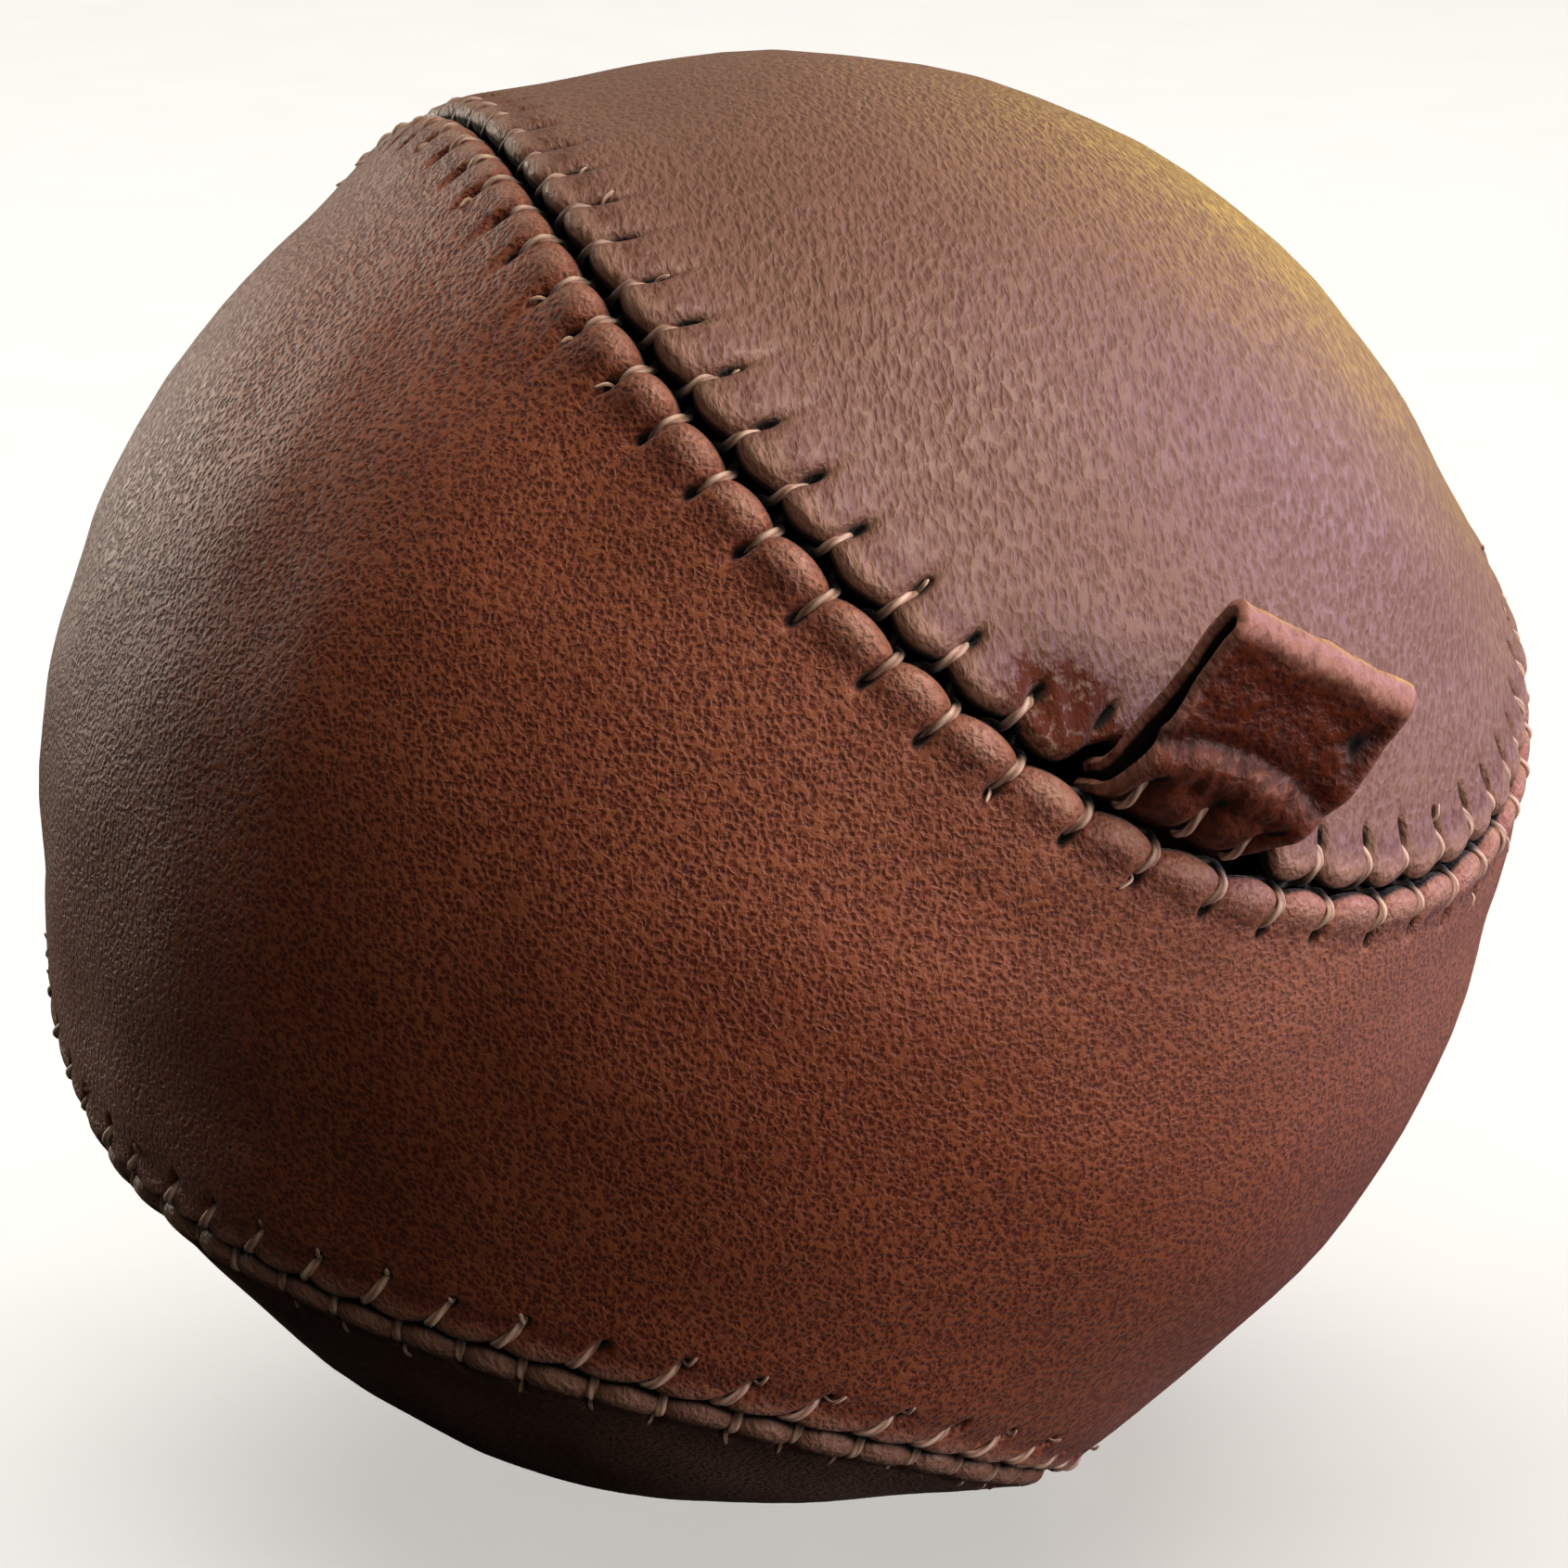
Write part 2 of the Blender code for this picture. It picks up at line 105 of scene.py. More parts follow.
THREAD_PROUD = 0.3 * MM  # how much higher the thread lies where the gap is shut

# The puckered lips
GAP_LEAST = 0.10 * MM  # half the gap where it is nearly shut
GAP_OPENING = 0.30 * MM  # and how much more where it is widest
GAP_WIDEST = 0.37  # where along the seam that is, as a share of its length
GAP_REACH = 0.085
PILLOW_HEIGHT = {-1: 1.5 * MM, 1: 1.35 * MM}
PILLOW_LENGTH = {-1: 4.6 * MM, 1: 3.0 * MM}
PILLOW_TOP = 2.0 * MM  # the pillows keep their height this far from the seam
PILLOW_EDGE = 0.55  # and have this share of it at the very edge
SCALLOP = {-1: 1.5 * MM, 1: 1.0 * MM}  # how far the edge draws back at each stitch
SCALLOP_REACH = 2.6 * MM
SLACK = 0.4  # share of the puckering that is left where the gap is shut
WORN_FLAT = 0.78  # share of the puckering that is worn away at the top left
WORN_PLACE = 0.415  # where along the seam that is, as a share of its length
WORN_REACH = 0.07
SHEEN_PAINT = 0.36  # share of pale grey painted on panel B below the loop's right side: a painted sheen
SHEEN_PAINT_PLACE = 0.235
SHEEN_PAINT_REACH = 0.07
SHEEN_PAINT_AWAY = 20 * MM
VALLEY_DEPTH = 0.75 * MM  # the trough that each thread presses in
VALLEY_WIDTH = 0.5 * MM
TUCK_DEPTH = 0.2 * MM  # the soft dent beyond a hole
PIT_DEPTH = 1.3 * MM  # the hole itself
PIT_WIDTH = 0.48 * MM
PIT_LENGTH = {-1: 1.35 * MM, 1: 0.95 * MM}
WORN_BAND = 1.6 * MM  # the middle of the band where the pillows are rubbed pale and given a painted highlight
GRIME_BAND = 4.0 * MM  # and of the darker band beyond them
BAND_REACH = 1.3 * MM
UNDULATION = 0.22 * MM  # the stuffing's lumps under the leather
UNDULATION_LENGTH = 19 * MM

# The panels' grids: places of the columns in one pitch, and of the rows from the seam inwards.
# LIP_ROLL is the turned edge, as pairs of distance from the gap and depth.
COLUMN_PLACES = np.array([0, 0.03, 0.065, 0.105, 0.155, 0.22, 0.30, 0.40])
COLUMN_PLACES = np.concatenate([COLUMN_PLACES, [0.5], 1 - COLUMN_PLACES[:0:-1]])
LIP_ROLL = np.array([(0.8, 2.6), (0.3, 2.3), (0.05, 1.8), (0.0, 1.3), (0.1, 0.85), (0.3, 0.5),
                     (0.6, 0.22), (1.0, 0.05)]) * MM
LIP_ROWS = np.concatenate([np.arange(1.4, 6.6, 0.4), np.arange(6.9, 12.1, 0.75)]) * MM
INNER_ROWS = np.array([0.03, 0.065, 0.105, 0.15, 0.2, 0.26, 0.33, 0.41, 0.5, 0.6, 0.7, 0.8, 0.9])
BACK_ROWS = np.array([4.0, 12.0]) * MM

# The stained pucker of panel A beside the strap's left edge
PUCKER_ALONG = 2.1  # from the loop's middle, in pitches
PUCKER_AWAY = 5.0 * MM
PUCKER_LENGTH = 0.9  # half of it along the seam, in pitches
PUCKER_WIDTH = 3.8 * MM
PUCKER_DEPTH = 0.45 * MM
PUCKER_FOLDS = 13.0
PUCKER_FOLD_SHIFT = 0.35  # where the folds meet, in pitches
PUCKER_GRIME = 4.5  # over one, so that it reaches through the blotches


def unit(vectors):
    """The vectors at length one."""
    return vectors / np.linalg.norm(vectors, axis=-1, keepdims=True)


def ease(values):
    """Zero below 0, one above 1, and a smooth step between."""
    clipped = np.clip(values, 0.0, 1.0)
    return clipped * clipped * (3.0 - 2.0 * clipped)


def bell(values, width):
    """One at 0, falling away over this width on each side."""
    return np.exp(-(np.asarray(values) / width) ** 2)


# ---- The ball's form, worked out as in the CAD ----

def stretch_matrix():
    """How far the ball is stretched in each direction, as a symmetric matrix."""
    diagonal = np.array([math.cos(LEAN_ANGLE), 0.0, math.sin(LEAN_ANGLE)])
    across = np.array([-math.sin(LEAN_ANGLE), 0.0, math.cos(LEAN_ANGLE)])
    front = np.array([0.0, 1.0, 0.0])
    pairs = ((STRETCH_DIAGONAL, diagonal), (STRETCH_ACROSS, across), (STRETCH_FRONT, front))
    return sum(stretch * np.outer(axis, axis) for stretch, axis in pairs)


STRETCH = stretch_matrix()
TURN = np.array(BALL_TURN.to_matrix())


def body_radius(directions):
    """Distance from the ball's centre to its skin, leaving out the seam and the flat."""
    return BODY_RADIUS * (1.0 + np.einsum("...i,ij,...j->...", directions, STRETCH, directions))


CENTRE_HEIGHT = float(body_radius(np.array([0.0, 0.0, -1.0]))) - REST_FLAT_DEPTH
CENTRE = np.array([0.0, 0.0, CENTRE_HEIGHT])


def ideal_seam(turns):
    """The seam without drift, in the ball's own axes."""
    wide = 1.0 - SEAM_BEND
    height = 2.0 * math.sqrt(wide * SEAM_BEND)
    x = wide * np.cos(turns) + SEAM_BEND * np.cos(3 * turns)
    y = wide * np.sin(turns) - SEAM_BEND * np.sin(3 * turns)
    return np.stack([x, y, height * np.sin(2 * turns)], axis=-1)


def seam_directions(turns):
    """World directions from the centre to the seam, with the drift of hand-cut panels."""
    turns = np.asarray(turns, dtype=float)
    step = 1e-4
    point = ideal_seam(turns)
    along = unit(ideal_seam(turns + step) - ideal_seam(turns - step))
    drift = sum(cosine * np.cos((i + 1) * turns) + sine * np.sin((i + 1) * turns)
                for i, (cosine, sine) in enumerate(SEAM_DRIFT))
    return unit(point + np.cross(point, along) * drift[..., None]) @ TURN.T


def side_of_seam(turns):
    """World directions along the skin from the seam towards panel B."""
    step = 1e-3
    along = unit(seam_directions(turns + step) - seam_directions(turns - step))
    return unit(np.cross(seam_directions(turns), along))


SEAM = seam_directions(np.linspace(0.0, 2 * math.pi, SEAM_SAMPLES, endpoint=False))


def seam_distance(directions):
    """Distance over the skin from each direction to the seam."""
    nearest = np.clip(directions @ SEAM.T, -1.0, 1.0).max(axis=-1)
    return np.arccos(nearest) * BODY_RADIUS


def on_skin(directions, away, height):
    """World places at this height over the skin: negative is deeper. The pressed flat stays flat."""
    radius = body_radius(directions) + RIDGE_HEIGHT * bell(away, RIDGE_WIDTH) + height
    down = np.maximum(-directions[..., 2], 1e-6)
    deeper = np.minimum(height, 0.0)
    radius = np.minimum(radius, (CENTRE_HEIGHT + deeper) / down)
    return CENTRE + directions * radius[..., None]


# Phase: distance along the seam in stitch pitches, from panel B's tip
TIP = 0.75 * math.pi
FINE_TURNS = TIP + np.linspace(0.0, 2 * math.pi, 16 * SEAM_SAMPLES + 1)
FINE_STEPS = np.linalg.norm(np.diff(ideal_seam(FINE_TURNS), axis=0), axis=1)
FINE_PHASES = np.concatenate([[0.0], np.cumsum(FINE_STEPS)]) / FINE_STEPS.sum() * STITCHES
QUARTER = STITCHES // 4


def turn_at(phases):
    """The seam's parameter at these phases."""
    laps = np.floor(phases / STITCHES)
    return np.interp(phases - laps * STITCHES, FINE_PHASES, FINE_TURNS) + laps * 2 * math.pi


LOOP_PHASE = float(np.interp(LOOP_TURN, FINE_TURNS, FINE_PHASES))


def notch(columns):
    """How far panel A's edge steps back for the loop's foot."""
    away = np.abs((columns - LOOP_PHASE) * PITCH - LOOP_NOTCH_SHIFT)
    return LOOP_NOTCH * ease((LOOP_NOTCH_HALF + LOOP_NOTCH_EASE - away) / LOOP_NOTCH_EASE)


def waves(points, length, seed, count=14):
    """Smooth, repeatable noise from -1 to 1 with this wavelength."""
    rng = np.random.default_rng(seed)
    ways = unit(rng.normal(size=(count, 3))) * rng.uniform(0.7, 1.4, (count, 1)) * 2 * math.pi / length
    total = np.sin(points @ ways.T + rng.uniform(0, 2 * math.pi, count)).sum(axis=-1)
    return np.clip(total / math.sqrt(count) * 0.8, -1.0, 1.0)


# ---- The stitches' hand-made differences ----

RNG = np.random.default_rng(11)
STITCH_WAYS = {side: {"shift": RNG.uniform(-STITCH_JITTER, STITCH_JITTER, STITCHES),
                      "pull": RNG.uniform(0.7, 1.25, STITCHES),
                      "hole": RNG.uniform(-HOLE_SPREAD, HOLE_SPREAD, STITCHES),
                      "pillow": RNG.uniform(0.78, 1.18, STITCHES)} for side in (-1, 1)}


def stitch_phases(side):
    """The phases of a panel's stitches."""
    return np.arange(STITCHES) + STITCH_SHIFT[side] + STITCH_WAYS[side]["shift"]


def share_away(columns, share):
    """How far columns are from a place along the seam. Both are shares of its length."""
    return (columns / STITCHES - share + 0.5) % 1.0 - 0.5


def opening(columns):
    """One where the seam strains open most, and nearly zero where it is shut."""
    return bell(share_away(columns, GAP_WIDEST), GAP_REACH)


def flattened(columns):
    """The share of the puckering that is left after wear."""
    return 1.0 - WORN_FLAT * bell(share_away(columns, WORN_PLACE), WORN_REACH)


def half_gap(columns):
    """Half the width of the gap between the lips."""
    return GAP_LEAST + GAP_OPENING * opening(columns)


def slant(side, columns):
    """How far along the seam a stitch's hole lies from where its thread crosses the lip."""
    middle, swing = STITCH_SLANT[side]
    return middle - swing * np.cos(2 * math.pi * (columns / STITCHES - SLANT_LEAST))


def in_stitches(side, columns):
    """The columns' phases counted in the panel's own stitches, so that stitch k is at k."""
    places = stitch_phases(side)
    turns = np.concatenate([places - STITCHES, places, places + STITCHES])
    laps = np.floor(columns / STITCHES)
    return np.interp(columns - laps * STITCHES, turns, np.arange(-STITCHES, 2 * STITCHES))


def relief(side, columns, away):
    """Height of the puckered lip, and its marks: crest, rubbed pale and partly a painted highlight; hole,
    the pit, where painted shade goes; trough, grime in the thread's trough and a darker band beyond.
    """
    counted = in_stitches(side, columns)
    nearest = np.round(counted).astype(int) % STITCHES
    pillow_index = np.floor(counted).astype(int) % STITCHES
    across = (counted - np.round(counted)) * PITCH
    ways = STITCH_WAYS[side]
    swell = np.abs(np.sin(math.pi * counted)) ** 0.6
    open_here = opening(columns)
    strain = SLACK + (1 - SLACK) * open_here
    rise = np.where(away < PILLOW_TOP, 1.0, bell((away - PILLOW_TOP) / strain, PILLOW_LENGTH[side]))
    rise = rise * (PILLOW_EDGE + (1 - PILLOW_EDGE) * ease(away / (1.6 * MM))) * strain
    flat = flattened(columns)
    pillow = PILLOW_HEIGHT[side] * ways["pillow"][pillow_index] * swell * rise * flat
    reach = HOLE_AWAY + ways["hole"][nearest]
    tail = (0.7 + 1.3 * open_here) * MM
    trough = bell(across, VALLEY_WIDTH * (1 + 0.5 * open_here))
    trough = trough * np.where(away < reach, 1.0, bell(away - reach, tail))
    # the pit's mark also carries painted shade into the material
    hole = bell(across, PIT_WIDTH) * bell(away - reach + 0.2 * MM, PIT_LENGTH[side])
    tuck = bell(across, 0.7 * MM) * bell(away - reach - 3 * MM, 2.6 * MM)
    sunken = (VALLEY_DEPTH * strain * trough + TUCK_DEPTH * open_here * tuck) * flat + PIT_DEPTH * hole
    height = pillow - ways["pull"][nearest] * sunken
    # rubbed pale pillow tops, partly a painted highlight
    crest = swell ** 2 * bell(away - WORN_BAND, BAND_REACH)
    darker_band = swell * bell(away - GRIME_BAND, BAND_REACH) * 0.8
    return height, crest, hole, np.maximum(trough * bell(away - 2.4 * MM, 2.6 * MM), darker_band)


def painted_sheen(side, columns, away):
    """The pale grey painted on panel B below the loop's right side: a painted sheen."""
    return SHEEN_PAINT * bell(share_away(columns, SHEEN_PAINT_PLACE), SHEEN_PAINT_REACH) * bell(away, SHEEN_PAINT_AWAY) * (side > 0)


def pucker(side, columns, away):
    """The stain beside the strap on panel A, and the depth of the folds that fan out in it."""
    along = columns - LOOP_PHASE - PUCKER_ALONG
    stain = bell(along, PUCKER_LENGTH) * bell(away - PUCKER_AWAY, PUCKER_WIDTH) * (side < 0)
    fan = np.arctan2((along + PUCKER_FOLD_SHIFT) * PITCH, away)
    return stain, PUCKER_DEPTH * stain * (1 + np.cos(PUCKER_FOLDS * fan))


def lip_directions(side, columns, away):
    """World directions at this distance from the seam, on columns that slant with the stitches."""
    lean = slant(side, columns) * ease(np.asarray(away) / (1.2 * HOLE_AWAY))
    turns = turn_at(columns + lean)
    angle = np.asarray(away)[..., None] / BODY_RADIUS
    return seam_directions(turns) * np.cos(angle) + side * side_of_seam(turns) * np.sin(angle)


def lumps(side, places):
    """How far the stuffing's lumps lift the leather at these places."""
    return waves(places, UNDULATION_LENGTH, 3 + side) * UNDULATION


def lip_places(side, columns, away, height):
    """World places over the puckered lip at this height above the leather."""
    rise = relief(side, columns, away)[0] * ease(away / (0.6 * MM))
    return on_skin(lip_directions(side, columns, away), away, rise + height)


# ---- Meshes ----

def mesh_object(name, places, faces, marks=None):
    """A smooth mesh piece. marks are its named values per point, read by the materials."""
    data = bpy.data.meshes.new(name)
    data.from_pydata(np.asarray(places).tolist(), [], faces)
    for mark, values in (marks or {}).items():
        vector = np.ndim(values) == 2
        layer = data.attributes.new(mark, "FLOAT_VECTOR" if vector else "FLOAT", "POINT")
        layer.data.foreach_set("vector" if vector else "value", np.asarray(values, np.float32).ravel())
    data.validate()
    data.shade_smooth()
    made = bpy.data.objects.new(name, data)
    bpy.context.scene.collection.objects.link(made)
    return made


def strip_faces(first, second):
    """Quads between two closed rows of point numbers."""
    count = len(first)
    return [(int(first[k]), int(first[(k + 1) % count]), int(second[(k + 1) % count]), int(second[k]))
            for k in range(count)]


def tube_faces(numbers):
    """The sides and the two ends of a closed tube, from its rings of point numbers."""
    faces = []
    for first, second in zip(numbers, numbers[1:]):
        faces += strip_faces(first, second)
    return faces + [tuple(int(n) for n in numbers[0][::-1]), tuple(int(n) for n in numbers[-1])]


def run_along(path):
    """The distance along a path to each of its points."""
    steps = np.linalg.norm(np.diff(path, axis=0), axis=1)
    return np.concatenate([[0.0], np.cumsum(steps)])


def spine_directions(side, offsets):
    """World directions of the panel's middle line."""
    reach = -SPINE_REACH * np.cos(offsets)
    lobe = np.array([1.0, -side, 0.0]) / math.sqrt(2)
    centre = np.array([0.0, 0.0, side])
    return (np.outer(np.sin(reach), lobe) + np.outer(np.cos(reach), centre)) @ TURN.T


def turn_between(start, end, fraction):
    """Directions this far from start to end over the unit ball."""
    angle = np.arccos(np.clip((start * end).sum(axis=-1), -1.0, 1.0))
    first = np.sin((1 - fraction) * angle) / np.sin(angle)
    second = np.sin(fraction * angle) / np.sin(angle)
    return start * first[:, None] + end * second[:, None]


def panel_columns(side):
    """Phases of a panel's columns from its tip, mirrored about it, and their spine offsets."""
    places = np.sort((COLUMN_PLACES + STITCH_SHIFT[side]) % 1.0)
    from_tip = (np.arange(STITCHES)[:, None] + places).ravel()
    half = len(from_tip) // 2
    tip_phase = 0.0 if side > 0 else QUARTER
    offsets = turn_at(tip_phase + from_tip) - turn_at(np.array([tip_phase]))
    offsets[half + 1:] = -offsets[1:half][::-1]
    return tip_phase + from_tip, offsets


def grain_axes(way):
    """Axes whose third one runs along the ripples of the grain."""
    third = unit(np.array(way, float))
    first = unit(np.cross(third, (1.0, 0.0, 0.0)))
    return np.stack([first, np.cross(third, first), third])


GRAIN_AXES = {-1: grain_axes((-0.164, 0.783, 0.600)), 1: np.eye(3)}


def build_panel(letter, side, finish):
    """One leather panel: an outer skin with puckered lips and a plain back, closed along its edge."""
    columns, offsets = panel_columns(side)
    count = len(columns)
    stepped = notch(columns % STITCHES) if side < 0 else np.zeros(count)
    spine = spine_directions(side, offsets)
    swell = np.abs(np.sin(math.pi * in_stitches(side, columns))) ** 0.8
    gap = half_gap(columns)
    rows, marks = [], {"crest": [], "hole": [], "trough": []}

    def add_row(places, crest=None, hole=None, trough=None):
        rows.append(places)
        for mark, values in (("crest", crest), ("hole", hole), ("trough", trough)):
            marks[mark].append(np.zeros(count) if values is None else values)

    def lip_row(away, depth):
        height, crest, hole, trough = relief(side, columns, away + 0 * columns)
        drawn_back = SCALLOP[side] * (1 - swell) * bell(away, SCALLOP_REACH) * flattened(columns)
        place = away + gap + drawn_back + stepped
        calm = 1.0 - 0.75 * stepped / LOOP_NOTCH
        stain, folds = pucker(side, columns % STITCHES, place)
        directions = lip_directions(side, columns, place)
        places = on_skin(directions, place, height * calm - folds - depth)
        places += directions * (lumps(side, places) * ease(away / (4 * MM)))[:, None]
        # painted shade: black in the stitch holes and deepening where the lip rolls down into the gap
        shade = np.clip(hole + ease((depth - 0.3 * MM) / (1.2 * MM)), 0.0, 1.0)
        # the crest mark also carries the painted sheen on panel B
        crest = crest * calm * (1 - stain) + painted_sheen(side, columns, away)
        add_row(places, crest, shade, np.maximum(trough, PUCKER_GRIME * stain))

    def inner_row(start, fraction, depth):
        directions = turn_between(start, spine, fraction)
        away = seam_distance(directions)
        lump = lumps(side, CENTRE + directions * BODY_RADIUS)
        # painted sheen on panel B, carried by the crest mark
        add_row(on_skin(directions, away, lump - depth), painted_sheen(side, columns, away))

    def spine_row(depth):
        away = seam_distance(spine)
        lump = lumps(side, CENTRE + spine * BODY_RADIUS)
        add_row(on_skin(spine, away, lump - depth))

    start = lip_directions(side, columns, LIP_ROWS[-1] + gap + stepped)
    spine_row(LEATHER)
    for fraction in INNER_ROWS[::-3]:
        inner_row(start, fraction, LEATHER)
    for away in BACK_ROWS[::-1]:
        place = away + gap + stepped
        add_row(on_skin(lip_directions(side, columns, place), place, np.full(count, -LEATHER)))
    for away, depth in LIP_ROLL:
        lip_row(away, depth)
    for away in LIP_ROWS:
        lip_row(away, 0.0)
    for fraction in INNER_ROWS:
        inner_row(start, fraction, 0.0)
    spine_row(0.0)

    # the two spine rows are open lines: their second half shares the points of their first
    half = count // 2
    numbers = np.arange(len(rows) * count).reshape(len(rows), count)
    for row in (0, -1):
        numbers[row, half + 1:] = numbers[row, 1:half][::-1]
    faces = []
    for first, second in zip(numbers, numbers[1:]):
        faces += strip_faces(first, second)
    used = np.unique(numbers)
    renumber = np.zeros(numbers.max() + 1, int)
    renumber[used] = np.arange(len(used))
    faces = [tuple(int(renumber[n]) for n in face) for face in faces]
    faces = [tuple(dict.fromkeys(face)) for face in faces]
    faces = [face[::side] for face in faces if len(face) > 2]
    places = np.concatenate(rows)[used]
    values = {mark: np.concatenate(rows_of)[used] for mark, rows_of in marks.items()}
    values["grain"] = places @ GRAIN_AXES[side].T / MM
    panel = mesh_object(f"panel_{letter}", places, faces, values)
    panel.data.materials.append(finish)
    return panel


def sweep(path, side_ways, radius_across, radius_out):
    """A closed, twisted thread along a path: its rings' places, faces, and the marks of its plies."""
    run = run_along(path)
    along = unit(np.gradient(path, axis=0))
    across = unit(side_ways - along * (side_ways * along).sum(axis=1, keepdims=True))
    out = np.cross(across, along)
    angles = np.linspace(0, 2 * math.pi, THREAD_SIDES, endpoint=False)
    turned = run[:, None] / THREAD_TWIST * 2 * math.pi
    lobes = 1.0 + PLY_DEPTH * np.cos(THREAD_PLIES * angles[None] - turned)
    taper = np.ones(len(path))
    taper[[0, -1]] = 0.5
    offsets = (across[:, None] * (np.cos(angles) * radius_across)[None, :, None]
               + out[:, None] * (np.sin(angles) * radius_out)[None, :, None])
    places = path[:, None] + offsets * (lobes * taper[:, None])[:, :, None]
    faces = tube_faces(np.arange(len(path) * THREAD_SIDES).reshape(-1, THREAD_SIDES))
    grain = np.zeros(places.shape)
    grain[..., 0] = run[:, None]
    grain[..., 1] = angles * radius_out
    marks = {"ply": (lobes.ravel() - (1 - PLY_DEPTH)) / (2 * PLY_DEPTH), "grain": grain.reshape(-1, 3) / MM}
    return places.reshape(-1, 3), faces, marks


def smooth_path(points, spacing):
    """An even run of points on a smooth curve through these."""
    points = np.asarray(points, float)
    before = np.vstack([2 * points[0] - points[1], points, 2 * points[-1] - points[-2]])
    curve = []
    for a, b, c, d in zip(before, before[1:], before[2:], before[3:]):
        t = np.linspace(0, 1, 12, endpoint=False)[:, None]
        curve.append(0.5 * (2 * b + (c - a) * t + (2 * a - 5 * b + 4 * c - d) * t ** 2
                            + (3 * b - a - 3 * c + d) * t ** 3))
    curve = np.vstack(curve + [points[-1:]])
    run = run_along(curve)
    count = max(4, int(run[-1] / spacing))
    wanted = np.linspace(0, run[-1], count)
    return np.stack([np.interp(wanted, run, curve[:, i]) for i in range(points.shape[1])], axis=1)


def stitch_route(side, number):
    """One stitch: up through its hole, over the lip and down into the gap. Columns, distances, heights."""
    phase = stitch_phases(side)[number]
    hole = HOLE_AWAY + STITCH_WAYS[side]["hole"][number]
    half = THREAD_RADIUS * 0.7
    crest = half_gap(phase) + SCALLOP[side] + 1.2 * MM
    proud = THREAD_PROUD * (1 - opening(phase))
    return [(phase - 0.10, side, 0.72 * hole, UNDER_SKIN),
            (phase - 0.02, side, hole + 0.5 * MM, UNDER_SKIN),
            (phase, side, hole + 0.2 * MM, -1.2 * MM),
            (phase, side, hole - 0.4 * MM, 0.4 * half),
            (phase, side, 0.5 * (hole + crest), 1.1 * half + proud),
            (phase, side, crest, 1.35 * half + proud),
            (phase, side, crest - 0.9 * MM, 0.9 * half),
            (phase + 0.02, side, 0.5 * MM, -1.2 * MM),
            (phase + 0.16, side, 0.1 * MM, -2.75 * MM)]


def fray(side, number, rng):
    """A loose end of ply beyond a stitch's hole."""
    phase = stitch_phases(side)[number]
    hole = HOLE_AWAY + STITCH_WAYS[side]["hole"][number]
    swing = rng.uniform(-FRAY_SWING, FRAY_SWING)
    return [(phase, side, hole - 0.3 * MM, -0.3 * MM),
            (phase + 0.3 * swing, side, hole + 0.5 * MM, 0.75 * MM),
            (phase + swing, side, hole + rng.uniform(1.1, 1.9) * MM, 0.3 * MM)]


def laid(route):
    """A route's places, with how deep in painted shade each is as a fourth number."""
    places = [lip_places(side, np.array([phase]), np.array([away]), np.array([height]))[0]
              for phase, side, away, height in route]
    shade = ease((-0.1 * MM - np.array([height for *_, height in route])) / (1.0 * MM))
    return np.column_stack([places, shade * MM])


def thread_tube(route, radius, spacing):
    """A thread along this route, flat where it lies on the leather."""
    line = smooth_path(laid(route), spacing)
    path, shade = line[:, :3], line[:, 3] / MM
    path[:, 2] = np.maximum(path[:, 2], 1.3 * radius)  # above what the ball rests on
    across = np.cross(unit(np.gradient(path, axis=0)), unit(path - CENTRE))
    places, faces, marks = sweep(path, across, radius * THREAD_WIDE, radius * THREAD_FLAT)
    # painted shade: the thread darkens where it runs under the leather
    marks["hole"] = np.repeat(shade, THREAD_SIDES)
    return places, faces, marks


def joined(name, tubes, finish):
    """Several tubes as one piece."""
    faces, start = [], 0
    for places, rings, _ in tubes:
        faces += [tuple(n + start for n in face) for face in rings]
        start += len(places)
    marks = {mark: np.concatenate([values[mark] for *_, values in tubes]) for mark in tubes[0][2]}
    made = mesh_object(name, np.concatenate([places for places, *_ in tubes]), faces, marks)
    made.data.materials.append(finish)
    return made


def build_thread(length, finish):
    """One of the four lengths of thread, laced from side to side, with its loose plies."""
    rng = np.random.default_rng(40 + length)
    first = (length - 1) * QUARTER
    route, frays = [], []
    for number in range(first, first + QUARTER):
        for side in (1, -1):
            phase = stitch_phases(side)[number]
            if side < 0 and notch(phase) > 0.2 * LOOP_NOTCH:
                continue
            route += stitch_route(side, number)
            if rng.random() < FRAYED + FRAYED_MORE * bell(share_away(phase, FRAYED_MOST), FRAYED_REACH):
                frays.append(fray(side, number, rng))
    tubes = [thread_tube(route, THREAD_RADIUS, THREAD_STEP)]
    tubes += [thread_tube(loose, FRAY_THIN * THREAD_RADIUS, FRAY_STEP) for loose in frays]
    return joined(f"thread_{length}", tubes, finish)


# ---- The loop ----

def loop_matrix():
    """The loop's own frame on its bend line: X out of its front, Y up it, Z along the bend."""
    turn = np.array([LOOP_TURN])
    towards_a = -side_of_seam(turn)[0]
    foot = unit(seam_directions(turn)[0] + towards_a * LOOP_SETBACK / BODY_RADIUS)
    towards_a = unit(towards_a - foot * (towards_a @ foot))
    radius = float(body_radius(foot)) + RIDGE_HEIGHT + LOOP_LIFT
    front = math.sin(LOOP_LEAN) * foot - math.cos(LOOP_LEAN) * towards_a
    upward = math.cos(LOOP_LEAN) * foot + math.sin(LOOP_LEAN) * towards_a
    columns = Matrix((front, upward, np.cross(front, upward))).transposed().to_4x4()
    return Matrix.Translation(Vector(CENTRE + foot * radius)) @ columns


LOOP_FRAME = np.array(loop_matrix())
STRAP_THICK = 1.7 * MM
STRAP_STEP = 0.34 * MM
STRAP_COLUMNS = 61  # points across each face of the strap
